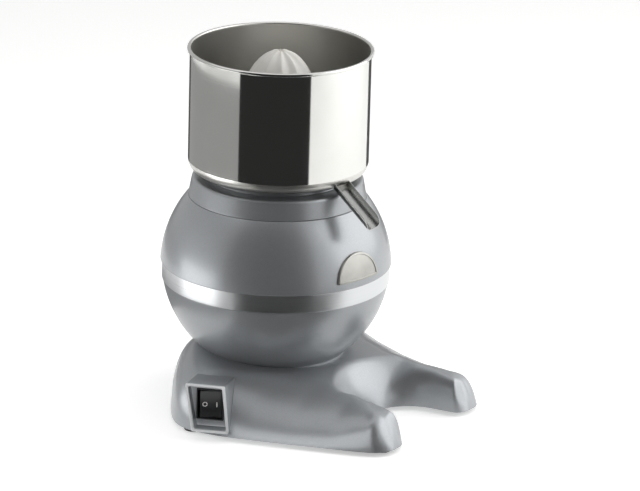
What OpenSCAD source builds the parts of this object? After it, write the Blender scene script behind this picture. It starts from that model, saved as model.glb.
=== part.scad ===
// Electric citrus juicer: a ball-shaped motor housing on a two-legged base, a steel bowl with a spout
// and a ribbed reamer. The origin lies on the table under the motor's axis. Z points up, and the spout
// and the legs face -Y.

/* [Ball] */
// Outer radius of the upper half of the ball
ball_r = 103.5; // [102:0.5:106]
// Height of the ball's centre above the table
ball_z = 122.5; // [121:0.5:125]
// Wall of both halves
shell_wall = 3.5; // [3:0.25:4]
// Height of the bright band
band_h = 16.4; // [14:0.2:18]
// Radial thickness of the bright band
band_t = 2.2; // [1.8:0.1:2.6]
// Radius of the top collar
collar_r = 79.5; // [77:0.5:80.5]
// Height of the top collar
collar_h = 17.6; // [16:0.2:19]
// Width of the front plate
badge_w = 49; // [40:1:56]
// Thickness of the front plate
badge_t = 1.5; // [1:0.1:2]

/* [Bowl] */
// Outer radius of the bowl under its rim
bowl_r = 80.5; // [78:0.5:84]
// Height from the bowl's underside to the middle of its rolled rim
bowl_h = 111; // [105:1:125]
// Sheet thickness of the bowl
bowl_wall = 1; // [0.8:0.1:1.4]
// Radius of the rolled rim
bead_r = 1.7; // [1.4:0.1:2.2]
// Radius of the bowl's bottom corner
corner_r = 10; // [8:0.5:12]
// Turn of the spout and the front plate about the motor's axis
spout_turn = -11; // [-20:1:20]
// Outer radius of the spout's gutter
spout_r = 9; // [7:0.25:9.5]
// Reach of the spout from the motor's axis
spout_reach = 120.6; // [110:0.2:130]
// Fall of the spout in degrees
spout_fall = 32.8; // [28:0.2:36]

/* [Reamer] */
// Largest radius of the reamer
reamer_r = 40; // [36:0.5:44]
// Height of the reamer's rounded cone
reamer_h = 76; // [70:1:80]
// Number of ribs
rib_count = 10; // [6:1:12]
// Depth of the grooves between the ribs
rib_depth = 2.2; // [1.4:0.1:2.8]

/* [Base] */
// Reach of the legs in front of the motor's axis
leg_reach = 172; // [165:1:180]
// Half of the base's width at its widest
base_half_w = 133.5; // [130:0.5:138]
// Reach of the base behind the motor's axis
base_back = 82; // [80:1:88]
// Radius of the round cut-out between the legs
cutout_r = 43; // [40:0.5:46]
// Wall of the base casting
base_wall = 4.5; // [4:0.25:5]
// Height of the rubber feet
foot_h = 4; // [3:0.25:6]
// Radius of the rubber feet
foot_r = 8.5; // [7:0.5:9]

/* [Switch] */
// How far the switch frame's face stands out past the base's widest point
switch_out = 5.9; // [4.5:0.1:8.5]
// Turn of the switch frame away from the machine's side
switch_turn = 22.2; // [18:0.2:25]
// Width of the switch frame
frame_w = 35.4; // [33:0.2:38]
// Height of the switch frame
frame_h = 44.2; // [42:0.2:46]
// Width of the rocker
rocker_w = 21; // [18:0.5:22]
// Height of the rocker
rocker_h = 25; // [22:0.5:26]
// Tilt of the rocker to either side
rocker_tilt = 8; // [5:0.5:9]

/* [Motor] */
// Radius of the drive shaft
shaft_r = 7.5; // [6.5:0.25:8]
// Radius of the stator
stator_r = 67; // [65:0.5:68]
// Radius of the rotor
rotor_r = 33.6; // [31:0.2:35]
// Height of the motor's steel stack
stack_h = 50; // [46:1:52]
// Outer radius of the bearings
bearing_r = 16; // [14:0.5:17]
// Height of the bearings
bearing_h = 10; // [8:0.5:11]

/* [Hidden] */

$fn = 96;

// Clearances, and how far a cut runs past the face that it opens
fit = 0.05;
run_gap = 0.3;
loose_gap = 1.1;
over = 1;

// Ball: the lower half is a little smaller and sits a little higher, and the band covers their joint
lower_step = 1.2;
lower_rise = 4.1;
floor_drop = 88.5;
floor_t = 5;
band_drop = 11.6;
band_inset = 1.7;
neck_t = 8.6;
flange_t = 5;
lower_r = ball_r - lower_step;
lower_z = ball_z + lower_rise;
floor_z = ball_z - floor_drop;
band_z0 = ball_z - band_drop;
band_z1 = band_z0 + band_h;
band_r = ball_r - band_inset;
neck_r1 = band_r - band_t;
neck_r0 = neck_r1 - neck_t;

// Collar: it stands where the ball is a step wider than the collar
collar_step = 0.3;
collar_t = 4;
collar_edge_r = 3;
collar_inner_edge = 1;
collar_taper = 3.2;
collar_flange = 19.5;
collar_z = ball_z + sqrt(ball_r * ball_r - (collar_r + collar_step) * (collar_r + collar_step));
collar_top = collar_z + collar_h;
flange_r0 = collar_r - collar_flange;

// Front plate
badge_rise = 11.5;
badge_edge = 2;
badge_raise = 0.6;
badge_gap = 0.15;
badge_steps = 20;
badge_scales = [1, 0.75, 0.5, 0.25];
badge_pin_r = 1.5;
badge_pin_rise = 6;
badge_pin_len = 14;
badge_low = ball_z + badge_rise;

// Bowl and what it stands on
seat_rise = 6.1;
gasket_t = 1.7;
gasket_r0 = 54;
gasket_r1 = 62;
spigot_wall = 3.5;
spigot_gap = 1.5;
spigot_h = 22;
chimney_over = 5;
seal_h = 6;
seal_drop = 2;
seat_z = collar_top + seat_rise;
rim_z = seat_z + bowl_h;
gasket_z = seat_z - run_gap - gasket_t;
spigot_r0 = shaft_r + spigot_gap;
spigot_r1 = spigot_r0 + spigot_wall;
spigot_top = seat_z + spigot_h;
chimney_r = spigot_r1 + loose_gap;
chimney_top = spigot_top + chimney_over;

// Spout: its middle line leaves the bowl's side just above the floor
spout_wall = 1;
spout_rise = 3.7;
spout_root = 14;
spout_start_r = bowl_r + bead_r;
spout_start_z = seat_z + spout_rise;
spout_end_z = spout_start_z - (spout_reach - spout_start_r) * tan(spout_fall);
spout_len = (spout_reach - bowl_r + spout_root) / cos(spout_fall);

// Strainer
strainer_rise = 9;
strainer_t = 1;
strainer_gap = 7;
strainer_foot_gap = 8;
strainer_neck_gap = 1.9;
strainer_neck_h = 5;
strainer_rim_h = 4;
strainer_z = seat_z + strainer_rise;
strainer_r = bowl_r - strainer_gap;
strainer_foot_r = bowl_r - corner_r - strainer_foot_gap;
strainer_foot_z = seat_z + bowl_wall + run_gap;
strainer_neck_r = chimney_r + bowl_wall + strainer_neck_gap;
slot_rows = [24, 34, 44, 54];
slot_r = 1.6;
slots_per_mm = 0.7;
notch_back = 4;
notch_len = 9;
notch_h = 7;

// Reamer: its skin is a stack of rings, and soft ribs end in a ring of small lobes round its tip
tip_drop = 0.4;
skirt_drop = 5;
reamer_skin = 6;
cavity_rise = 11;
hub_rise = 3;
hub_t = 6.5;
pin_r = 2;
pin_rise = 3;
pin_inset = 2.2;
shaft_rise = 16;
slinger_gap = 1.4;
slinger_rise = 1.6;
slinger_t = 2;
rib_steps = 8;
rib_power = 1.6;
ring_tilts = [0, 8, 16, 24, 32, 40, 48, 55, 62, 68, 74, 79, 83];
tip_dimple = 2.2;
reamer_base = rim_z - tip_drop - reamer_h;
reamer_low = chimney_top - skirt_drop;
cavity_top = chimney_top + cavity_rise;
hub_low = chimney_top + hub_rise;
hub_r = shaft_r + hub_t;
pin_z = hub_low + pin_rise;
pin_half = hub_r - pin_inset;
slot_half = pin_r + run_gap;
shaft_top = cavity_top + shaft_rise;
slinger_z = spigot_top + slinger_rise;

// Motor
air_gap = 0.4;
rim_t = 8;
shield_rim_h = 19.5;
shield_t = 6;
lip_t = 2;
hub_lips = 4;
hub_wall = 5;
shaft_gap = 2;
winding_h = 15;
winding_gap = 3;
bolt_r = 2;
bolt_head_r = 4;
shaft_stub = 4;
fan_rise = 5;
fan_h = 10;
fan_r = 48;
fan_hub_t = 5.5;
fan_t = 1.6;
fan_tip_gap = 1;
blade_count = 10;
blade_turn = 12;
blade_drop = 1.5;
stack_z0 = ball_z - stack_h / 2;
stack_z1 = ball_z + stack_h / 2;
hub_h = bearing_h + hub_lips;
shield_z0 = stack_z0 - shield_rim_h - shield_t;
shield_z1 = stack_z1 + shield_rim_h;
low_hub_z = shield_z0 - hub_h + shield_t;
low_bearing_z = low_hub_z + lip_t;
high_bearing_z = shield_z1 + hub_h - lip_t - bearing_h;
winding_r0 = rotor_r + air_gap + winding_gap;
winding_r1 = stator_r - rim_t - winding_gap;
bolt_circle = stator_r - rim_t / 2;
shaft_low = low_hub_z - shaft_stub;
fan_z = shield_z1 + hub_h + fan_rise;
fan_hub_r = shaft_r + fan_hub_t;

// Screws that hold the ball, the motor and the collar
pillar_r = 7;
pillar_circle = 52;
pillar_turn = 45;
pillar_thread = 14;
shell_bolt_r = 3;
shell_bolt_circle = 34;
shell_bolt_end = 5;
shell_bolt_head_t = 2.4;
shell_bolt_head_h = 4;
nut_t = 2.2;
nut_h = 4;
saddle_t = 6;
saddle_r = 70;
saddle_h = 10.5;
saddle_top = floor_z + saddle_h;
lead_hole_r = 24;
screw_r = 2;
screw_head_r = 3.6;
screw_head_h = 3;
joint_count = 6;
joint_thread = 9;
joint_inset = 1;
joint_circle = (neck_r0 + neck_r1) / 2 - joint_inset;
collar_count = 4;
collar_boss_r = 6;
collar_boss_gap = 7;
collar_thread = 8;
collar_circle = flange_r0 + collar_boss_gap;
motor_thread = 12;
thread_spare = 2;

// Base
plate_gap = 1.4;
plate_t = 1.5;
plate_lift = 1;
plate_z = foot_h + plate_lift;
plate_top = plate_z + plate_t;
vent_count = 16;
vent_r = 30;
vent_len = 24;
vent_w = 3;
tip_lean = 9;
tip_h = 27;
tip_stations = 0.12;
tip_wall = base_wall + 5;
side_stations = 26;
draw_step = 0.15;
boss_r = 6;
boss_cover = 1;
plate_screw_r = 1.7;
plate_screw_head_r = 4;
plate_screw_head_h = 1.8;
plate_thread = 9;
foot_neck_r = 4;
foot_stem_r = 3;
gland_z = 22;
gland_r = 8;
gland_flange_r = 11;
gland_bore_r = 4;
gland_body = 13;
gland_flange_in = 3;
gland_flange_out = 3;

// A spot of the plan from its shares of the base's half width and of its reach to the front or the back
function base_spot(s) = [base_half_w * s[0], s[1] < 0 ? leg_reach * s[1] : base_back * s[1]];
plate_screw_spots = [for (s = [[0.5019, -0.814], [0.749, -0.436], [0.2996, 0.7805]]) base_spot(s)];
foot_spots = [for (s = [[0.4869, -0.9186], [0.9064, 0.0488], [0.5693, 0.5122]]) base_spot(s)];

// Outer outline of the base from the leg's front corner to the back, as shares of the sizes named above
outer_shares = [[0.592, -1], [0.679, -0.864], [0.763, -0.686], [0.849, -0.495], [0.929, -0.311],
    [0.981, -0.163], [1, -0.047], [0.989, 0.085], [0.951, 0.22], [0.888, 0.341], [0.779, 0.488],
    [0.622, 0.659], [0.36, 0.878], [0, 1]];
outer_corners = [for (s = outer_shares) base_spot(s)];

// Inner outline: the flared mouth of the cut-out, then its quarter round to the machine's middle
mouth_flare = [[9, 0], [3, 6], [1.3, 14]];
cutout_depth = 23.5;
cutout_y = cutout_depth - leg_reach;
cutout_angles = [0, 14, 28, 41, 52, 61, 69, 75.5, 81, 85.7, 90];
inner_corners = concat(
    [for (m = mouth_flare) [cutout_r + m[0], m[1] - leg_reach]],
    [for (a = cutout_angles) [cutout_r * cos(a), cutout_y + cutout_r * sin(a)]]);

// Where the skin's rows cross the base, as shares of the way from the outer to the inner outline
row_shares = [0, 0.006, 0.022, 0.05, 0.095, 0.16, 0.245, 0.345, 0.455, 0.565, 0.67, 0.765, 0.85, 0.92,
    0.965, 0.99, 1];

// Height of the base and how wide and how full its flanks are, from front to back
height_at = [[-172, 26.5], [-160, 29], [-150, 31], [-120, 35.5], [-85, 39.5], [-45, 43.2], [0, 46],
    [30, 49], [84, 51]];
outer_run_at = [[-172, 9], [-160, 18], [-145, 32], [-120, 48], [-85, 62], [-50, 62], [-25, 54], [0, 44],
    [20, 36], [45, 29], [84, 25]];
outer_power_at = [[-172, 2.4], [-150, 1.7], [-120, 1.4], [-50, 1.42], [-25, 1.5], [0, 1.8], [20, 2.15],
    [45, 2.5], [84, 2.6]];
inner_run_at = [[-172, 9], [-160, 10], [-140, 12], [-120, 17], [-105, 28]];
inner_power_at = [[-172, 2.2], [-140, 2], [-120, 1.6], [-105, 1.3]];

// Switch
switch_low = 8.8;
switch_shift = -33.9;
frame_lean_front = 4.4;
frame_lean_rear = 6.2;
frame_edge = 2.4;
frame_depth = 2;
hood_depth = 46;
hood_fall = 7;
hood_wall = 2.6;
panel_out = 11;
panel_t = 2.4;
rocker_y = 3;
rocker_rise = 23;
rocker_gap = 0.4;
pivot_depth = 15.5;
well_room = 6;
rear_drop = 10;
rocker_pin_r = 1.2;
bezel_t = 1.3;
body_depth = 22;
body_wall = 1.3;
key_out = 6.2;
key_dip = 1.2;
key_heel = 3.2;
key_inset = 1;
key_taper = 0.4;
mark_t = 0.35;
mark_r0 = 1.5;
mark_r1 = 2.2;
mark_bar = [4.6, 0.8];
switch_face = base_half_w + switch_out;
rocker_z = switch_low + rocker_rise;
housing_w = rocker_w + 2 * rocker_gap + 2 * body_wall;
housing_h = rocker_h + 2 * rocker_gap + 2 * body_wall;
well_end = pivot_depth + well_room;
key_side = rocker_w / 2 - key_inset;
key_angle = atan(key_dip / key_side);

// Electrics in the base, inside its right flank
cap_r = 10;
cap_len = 45;
cap_inset = 49.5;
cap_y = -30;
cap_lift = 2;
cap_spot = [base_half_w - cap_inset, cap_y];
cap_z = plate_top + cap_r + cap_lift;
clip_t = 1.2;
clip_w = 12;
clip_foot = 3;
block_size = [16, 30, 14];
block_inset = 35.5;
block_y = 10;
block_spot = [base_half_w - block_inset, block_y];
pole_pitch = 9;
pole_r = 2.4;
pole_depth = 6;
wire_sides = 12;
lead_r = 1.3;
lead_gap = 1;
lead_lift = 8;
lead_turn = 20;
lead_up_r = 44;
lead_inset = 6;
lead_bend = 12;
lead_end = 10;
lead_drop = 6;
lead_pair = 5;
lead_cross = [-60, 6];
lead_z = plate_top + lead_lift;
block_face = block_spot[0] - block_size[0] / 2;
block_top = plate_top + block_size[2];
switch_back = switch_face - panel_out - body_depth;

// Paint and metal
paint = "#86898d";
steel = "#c9cbcc";
bright = "#d8dadc";
white = "#eceae4";
black = "#1d1e20";
dark = "#3b3d40";
copper = "#b4703c";
iron = "#6d7073";

// General shapes

module ring(r0, r1, z0, z1) {
    rotate_extrude() translate([r0, z0]) square([r1 - r0, z1 - z0]);
}

module rod(r, z0, z1) {
    translate([0, 0, z0]) cylinder(r = r, h = z1 - z0);
}

// Children repeated round the motor's axis
module around(count, radius, turn = 0) {
    for (i = [0 : count - 1]) rotate(turn + 360 * i / count) translate([radius, 0, 0]) children();
}

// Children on both sides of the machine
module both_sides(spots) {
    for (s = spots, side = [-1, 1]) translate([side * s[0], s[1], 0]) children();
}

// Pan-head screw whose head sits on z and whose shank goes down
module screw(z, shank, r = screw_r, head_r = screw_head_r, head_h = screw_head_h) {
    rod(r, z - shank, z);
    rod(head_r, z, z + head_h);
}

// Half plane of a revolved outline
module right_side(z0, z1, r = 2 * ball_r) {
    intersection() {
        children();
        translate([0, z0]) square([r, z1 - z0]);
    }
}

module sphere_wall(r, wall, z) {
    translate([0, z]) difference() {
        circle(r = r, $fn = 180);
        circle(r = r - wall, $fn = 180);
    }
}

// Turned so that X points the way of the spout
module spout_way() {
    rotate(spout_turn - 90) children();
}

// Base outlines and skin

function bend(a, b, c, d, t) = 0.5 * (2 * b + (c - a) * t + (2 * a - 5 * b + 4 * c - d) * t * t
    + (3 * b - a - 3 * c + d) * t * t * t);
function corner_of(path, i) = let (last = len(path) - 1)
    i < 0 ? 2 * path[0] - path[1] : i > last ? 2 * path[last] - path[last - 1] : path[i];
function smooth(path, count) = let (spans = len(path) - 1)
    [for (i = [0 : count]) let (s = i * spans / count, k = min(floor(s), spans - 1))
        bend(corner_of(path, k - 1), path[k], path[k + 1], corner_of(path, k + 2), s - k)];

function outer_line() = smooth(outer_corners, side_stations);
function inner_line() = smooth(inner_corners, side_stations);

function gap_to_span(p, a, b) = let (d = b - a, t = min(max((p - a) * d / (d * d), 0), 1))
    norm(a + d * t - p);
function gap_to_line(p, line) = min([for (i = [0 : len(line) - 2]) gap_to_span(p, line[i], line[i + 1])]);
function swell(u, power) = let (v = min(max(u, 0), 1)) pow(1 - pow(1 - v, power), 1 / power);

// Height of the skin over a point of the plan, wall being how far it lies inside the outer face
function skin_z(p, outer, inner, wall) = foot_h + (lookup(p[1], height_at) - wall)
    * swell((gap_to_line(p, outer) - wall) / lookup(p[1], outer_run_at), lookup(p[1], outer_power_at))
    * swell((gap_to_line(p, inner) - wall) / lookup(p[1], inner_run_at), lookup(p[1], inner_power_at));

// A line moved sideways by d, to its left
function beside(line, d) = let (last = len(line) - 1) [for (i = [0 : last])
    let (way = line[min(i + 1, last)] - line[max(i - 1, 0)], n = [-way[1], way[0]] / norm(way))
    line[i] + n * d];

// The line's leg end drawn back from the leg's front face
function drawn_back(line, d) = [for (i = [0 : len(line) - 1])
    i == 0 ? [line[0][0], d - leg_reach] : [line[i][0], max(line[i][1], d - leg_reach + draw_step * i)]];
function tip_share(i) = max(0, 1 - i / side_stations / tip_stations);

function inset_outer(d, front) = drawn_back(beside(outer_line(), d), front);
function inset_inner(d, front) = drawn_back(beside(inner_line(), -d), front);

// Rows of the skin on one side, from the leg's front to the machine's middle
function skin_side(outer, inner, from_outer, from_inner, wall) = [for (i = [0 : side_stations])
    let (k = tip_lean * tip_share(i) / tip_h) [for (w = row_shares)
        let (p = from_outer[i] * (1 - w) + from_inner[i] * w,
            z = w == 0 || w == 1 ? foot_h : skin_z(p, outer, inner, wall))
        [p[0], p[1] + k * (z - foot_h), z]]];

// Both sides in one run of rows, from the right leg round the back to the left leg
function skin_rows(side) = concat(side, [for (i = [side_stations - 1 : -1 : 0])
    [for (p = side[i]) [-p[0], p[1], p[2]]]]);

module base_skin() {
    outer = outer_line();
    inner = inner_line();
    shell = skin_rows(skin_side(outer, inner, outer, inner, 0));
    hollow = skin_rows(skin_side(outer, inner, inset_outer(base_wall, tip_wall),
        inset_inner(base_wall, tip_wall), base_wall));
    rows = len(shell);
    cols = len(row_shares);
    count = rows * cols;
    edge = concat([for (i = [0 : rows - 1]) i * cols], [for (i = [rows - 1 : -1 : 0]) i * cols + cols - 1]);
    edges = len(edge);
    skin_faces = [for (i = [0 : rows - 2], j = [0 : cols - 2]) let (a = i * cols + j, b = a + cols)
        each [[a, b + 1, b], [a, a + 1, b + 1]]];
    first_cap = [for (j = [1 : cols - 2]) [0, j + 1, j]];
    last = (rows - 1) * cols;
    last_cap = [for (j = [1 : cols - 2]) [last, last + j, last + j + 1]];
    open_shell = concat(skin_faces, first_cap, last_cap);
    inside = [for (f = open_shell) [f[0] + count, f[2] + count, f[1] + count]];
    rim = [for (k = [0 : edges - 1]) let (a = edge[k], b = edge[(k + 1) % edges])
        each [[a, b, b + count], [a, b + count, a + count]]];
    polyhedron(points = [for (r = concat(shell, hollow)) each r], faces = concat(open_shell, inside, rim));
}

// Height under the skin that a boss of radius r may reach
function boss_top(p, r) = let (outer = outer_line(), inner = inner_line())
    min([for (a = [0 : 45 : 315]) skin_z(p + r * [cos(a), sin(a)], outer, inner, 0)]) - boss_cover;

// Outline of what lies inside the base's rim
module inside_rim(gap) {
    side = inset_outer(base_wall + gap, tip_wall + gap);
    mouth = inset_inner(base_wall + gap, tip_wall + gap);
    left = [for (i = [side_stations - 1 : -1 : 0]) [-side[i][0], side[i][1]]];
    mouth_left = [for (i = [0 : side_stations]) [-mouth[i][0], mouth[i][1]]];
    mouth_right = [for (i = [side_stations - 1 : -1 : 0]) mouth[i]];
    polygon(concat(side, left, mouth_left, mouth_right));
}

// Ball

module lower_ball(r_less) {
    rotate_extrude($fn = 180) right_side(floor_z, band_z0) translate([0, lower_z])
        circle(r = lower_r - r_less, $fn = 180);
}

module shell_bolt_spots() {
    around(4, shell_bolt_circle) children();
}

module motor_spots() {
    around(4, pillar_circle, pillar_turn) children();
}

module lower_shell() {
    color(paint) difference() {
        union() {
            rotate_extrude($fn = 180) {
                right_side(floor_z, band_z0) sphere_wall(lower_r, shell_wall, lower_z);
                right_side(floor_z, floor_z + floor_t) translate([0, lower_z])
                    circle(r = lower_r - shell_wall / 2, $fn = 180);
                translate([neck_r0, band_z0 - flange_t]) square([neck_r1 - neck_r0, band_h + flange_t]);
            }
            intersection() {
                motor_spots() rod(pillar_r, floor_z + floor_t / 2, shield_z0);
                lower_ball(shell_wall / 2);
            }
        }
        rod(lead_hole_r, floor_z - over, floor_z + floor_t + over);
        shell_bolt_spots() rod(shell_bolt_r + fit, floor_z - over, floor_z + floor_t + over);
        motor_spots() rod(screw_r + fit, shield_z0 - pillar_thread, shield_z0 + over);
        around(joint_count, joint_circle)
            rod(screw_r + fit, band_z1 - joint_thread - thread_spare, band_z1 + over);
    }
}

module upper_shell() {
    color(paint) difference() {
        rotate_extrude($fn = 180) {
            right_side(band_z1, collar_z) sphere_wall(ball_r, shell_wall, ball_z);
            right_side(band_z1, band_z1 + flange_t) difference() {
                translate([0, ball_z]) circle(r = ball_r - shell_wall / 2, $fn = 180);
                square([neck_r0, band_z1 + flange_t]);
            }
            right_side(collar_z - flange_t, collar_z) difference() {
                translate([0, ball_z]) circle(r = ball_r - shell_wall / 2, $fn = 180);
                square([flange_r0, collar_z]);
            }
        }
        around(joint_count, joint_circle) rod(screw_r + fit, band_z1 - over, band_z1 + flange_t + over);
        around(collar_count, collar_circle, pillar_turn)
            rod(screw_r + fit, collar_z - flange_t - over, collar_z + over);
        badge_pin_holes(badge_pin_r + fit);
    }
}

module trim_band() {
    color(bright) ring(neck_r1 + fit, band_r, band_z0, band_z1);
}

module joint_screws() {
    color(iron) around(joint_count, joint_circle) screw(band_z1 + flange_t, flange_t + joint_thread);
}

// Front plate, a half disc that follows the ball

// Outline of the plate with its edge drawn in by inset, and shrunk by share towards its middle
function badge_outline(inset, share) = let (r = badge_w / 2 - inset, middle = badge_w / 5,
    arc = [for (i = [0 : badge_steps]) let (a = 180 * i / badge_steps) [r * cos(a), max(r * sin(a), inset)]],
    line = [for (i = [1 : badge_steps / 2 - 1]) [r * (4 * i / badge_steps - 1), inset]])
    [for (q = concat(arc, line)) [share * q[0], middle + share * (q[1] - middle)]];

// The point of the ball's front, q from its centre, that lies over the plate's point
function on_front(point, q) = let (up = badge_low + point[1] - ball_z)
    [sqrt(q * q - point[0] * point[0] - up * up), point[0], ball_z + up];

module badge() {
    low = ball_r + badge_gap;
    face = low + badge_t;
    loops = concat(
        [for (i = [len(badge_scales) - 1 : -1 : 0])
            [for (q = badge_outline(0, badge_scales[i])) on_front(q, low)]],
        [[for (q = badge_outline(0, 1)) on_front(q, face + badge_raise)]],
        [[for (q = badge_outline(badge_edge, 1)) on_front(q, face + badge_raise)]],
        [for (k = badge_scales) [for (q = badge_outline(badge_edge, k)) on_front(q, face)]]);
    sides = len(loops[0]);
    last = len(loops) - 1;
    back = (last + 1) * sides;
    middle = [0, badge_w / 5];
    skin = [for (i = [0 : last - 1], k = [0 : sides - 1])
        let (a = i * sides + k, b = i * sides + (k + 1) % sides)
        each [[a, b + sides, b], [a, a + sides, b + sides]]];
    caps = [for (k = [0 : sides - 1]) let (m = (k + 1) % sides)
        each [[back, k, m], [back + 1, last * sides + m, last * sides + k]]];
    color(steel) spout_way() polyhedron(
        points = concat([for (l = loops) each l], [on_front(middle, low), on_front(middle, face)]),
        faces = concat(skin, caps));
}

module badge_pin_holes(r) {
    for (side = [-1, 1]) spout_way() translate([0, side * badge_w / 4, badge_low + badge_pin_rise])
        rotate([0, 90, 0]) rod(r, ball_r - shell_wall - badge_pin_len, ball_r + over);
}

module badge_pins() {
    color(steel) intersection() {
        badge_pin_holes(badge_pin_r);
        translate([0, 0, ball_z]) sphere(r = ball_r, $fn = 180);
    }
}

// Collar and what seats on it

// Half outline that leans in from a foot of radius r to a rounded top edge
module collar_outline(r, top, edge) {
    lean = atan(collar_taper / collar_h);
    middle = [r - (edge + sin(lean) * (top - edge - collar_z)) / cos(lean), top - edge];
    shoulder = middle + edge * [cos(lean), sin(lean)];
    polygon([[0, collar_z], [r, collar_z], shoulder, [middle[0], top], [0, top]]);
    translate(middle) circle(r = edge);
}

module top_collar() {
    color(paint) difference() {
        union() {
            rotate_extrude() {
                difference() {
                    right_side(collar_z, collar_top) collar_outline(collar_r, collar_top, collar_edge_r);
                    right_side(collar_z - over, collar_top) translate([0, -over])
                        collar_outline(collar_r - collar_t, collar_top - collar_t + over, collar_inner_edge);
                }
                translate([gasket_r0, collar_top - over])
                    square([gasket_r1 - gasket_r0, gasket_z - collar_top + over]);
                translate([0, collar_top - collar_t])
                    square([spigot_r1, spigot_top - collar_top + collar_t]);
            }
            around(collar_count, collar_circle, pillar_turn)
                rod(collar_boss_r, collar_z, collar_top - collar_t / 2);
        }
        rod(spigot_r0, collar_z, spigot_top + over);
        around(collar_count, collar_circle, pillar_turn)
            rod(screw_r + fit, collar_z - over, collar_z + collar_thread + thread_spare);
    }
}

module collar_screws() {
    color(iron) around(collar_count, collar_circle, pillar_turn) translate([0, 0, 2 * (collar_z - flange_t)])
        mirror([0, 0, 1]) screw(collar_z - flange_t, flange_t + collar_thread);
}

module seat_gasket() {
    color(black) ring(gasket_r0, gasket_r1, gasket_z, gasket_z + gasket_t);
}

module shaft_seal() {
    color(black) ring(shaft_r + fit, spigot_r0, spigot_top - seal_drop - seal_h, spigot_top - seal_drop);
}

// Bowl, spout and strainer

module bowl_outline(extra) {
    translate([0, seat_z - extra]) square([bowl_r - corner_r, bowl_h + extra]);
    translate([0, seat_z + corner_r]) square([bowl_r + extra, bowl_h - corner_r]);
    translate([bowl_r - corner_r, seat_z + corner_r]) circle(r = corner_r + extra);
}

// Places its child on the spout's middle line, X running out and down from the bowl's wall
module on_spout() {
    spout_way() translate([spout_reach, 0, spout_end_z]) rotate([0, spout_fall, 0]) children();
}

module bowl() {
    color(steel) difference() {
        rotate_extrude($fn = 144) {
            difference() {
                right_side(seat_z, rim_z) bowl_outline(0);
                right_side(seat_z + bowl_wall, rim_z + over) union() {
                    translate([0, seat_z]) square([bowl_r - corner_r, bowl_h + over]);
                    translate([0, seat_z + corner_r]) square([bowl_r - bowl_wall, bowl_h]);
                    translate([bowl_r - corner_r, seat_z + corner_r]) circle(r = corner_r - bowl_wall);
                }
                translate([0, seat_z - over]) square([chimney_r, bowl_wall + 2 * over]);
            }
            translate([bowl_r + bead_r - bowl_wall, rim_z]) circle(r = bead_r, $fn = 32);
            translate([chimney_r, seat_z]) square([bowl_wall, chimney_top - seat_z]);
        }
        on_spout() rotate([0, -90, 0]) intersection() {
            rod(spout_r - spout_wall, 0, spout_len + spout_r);
            translate([-2 * spout_r, -spout_r, 0]) cube([2 * spout_r, 2 * spout_r, spout_len + spout_r]);
        }
    }
}

module spout() {
    color(steel) difference() {
        on_spout() rotate([0, -90, 0]) difference() {
            rod(spout_r, 0, spout_len);
            rod(spout_r - spout_wall, -over, spout_len + over);
            translate([0, -spout_r - over, -over])
                cube([spout_r + over, 2 * spout_r + 2 * over, spout_len + 2 * over]);
        }
        rotate_extrude($fn = 144) right_side(seat_z - fit, rim_z) bowl_outline(fit);
    }
}

module strainer() {
    color(steel) difference() {
        rotate_extrude() {
            translate([strainer_neck_r, strainer_z]) square([strainer_r - strainer_neck_r, strainer_t]);
            translate([strainer_neck_r, strainer_z]) square([strainer_t, strainer_neck_h]);
            translate([strainer_r - strainer_t, strainer_z]) square([strainer_t, strainer_rim_h]);
            translate([strainer_foot_r, strainer_foot_z])
                square([strainer_t, strainer_z - strainer_foot_z + strainer_t / 2]);
        }
        for (r = slot_rows) around(round(r * slots_per_mm), r)
            rod(slot_r, strainer_z - over, strainer_z + strainer_t + over);
        spout_way() translate([strainer_foot_r - notch_back, -spout_r, seat_z])
            cube([notch_len, 2 * spout_r, notch_h]);
    }
}

// Reamer

// Depth of the groove between two ribs, at angle a round the cone
function groove(a) = rib_depth * pow(abs(sin(rib_count * a / 2)), rib_power);

function cone_ring(r, z, depth) = [for (i = [0 : rib_count * rib_steps - 1])
    let (a = 360 * i / (rib_count * rib_steps), q = r - depth * groove(a)) [q * cos(a), q * sin(a), z]];

module reamer_skin_solid() {
    rings = concat([cone_ring(reamer_r, reamer_low, 1)],
        [for (t = ring_tilts)
            cone_ring(reamer_r * cos(t), reamer_base + reamer_h * sin(t), 1 + sin(t) / 2)]);
    sides = rib_count * rib_steps;
    last = len(rings) - 1;
    tip = (last + 1) * sides;
    skin = [for (i = [0 : last - 1], k = [0 : sides - 1])
        let (a = i * sides + k, b = i * sides + (k + 1) % sides)
        each [[a, b + sides, b], [a, a + sides, b + sides]]];
    crown = [for (k = [0 : sides - 1]) [last * sides + k, tip, last * sides + (k + 1) % sides]];
    floor_face = [[for (k = [0 : sides - 1]) k]];
    polyhedron(points = concat([for (r = rings) each r], [[0, 0, reamer_base + reamer_h - tip_dimple]]),
        faces = concat(skin, crown, floor_face));
}

module reamer() {
    color(white) difference() {
        reamer_skin_solid();
        difference() {
            rod(reamer_r - reamer_skin, reamer_low - over, cavity_top);
            rod(hub_r, hub_low, cavity_top + over);
        }
        rod(shaft_r + run_gap, hub_low - over, shaft_top + over);
        translate([-pin_half - over, -slot_half, hub_low - over])
            cube([2 * pin_half + 2 * over, 2 * slot_half, pin_z - hub_low + slot_half + over]);
    }
}

module drive_shaft() {
    color(iron) difference() {
        rod(shaft_r, shaft_low, shaft_top);
        translate([0, 0, pin_z]) rotate([0, 90, 0]) rod(pin_r, -shaft_r - over, shaft_r + over);
    }
}

module drive_pin() {
    color(iron) translate([-pin_half, 0, pin_z]) rotate([0, 90, 0]) rod(pin_r, 0, 2 * pin_half);
}

module slinger() {
    color(black) ring(shaft_r, chimney_r - slinger_gap, slinger_z, slinger_z + slinger_t);
}

// Motor

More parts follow.
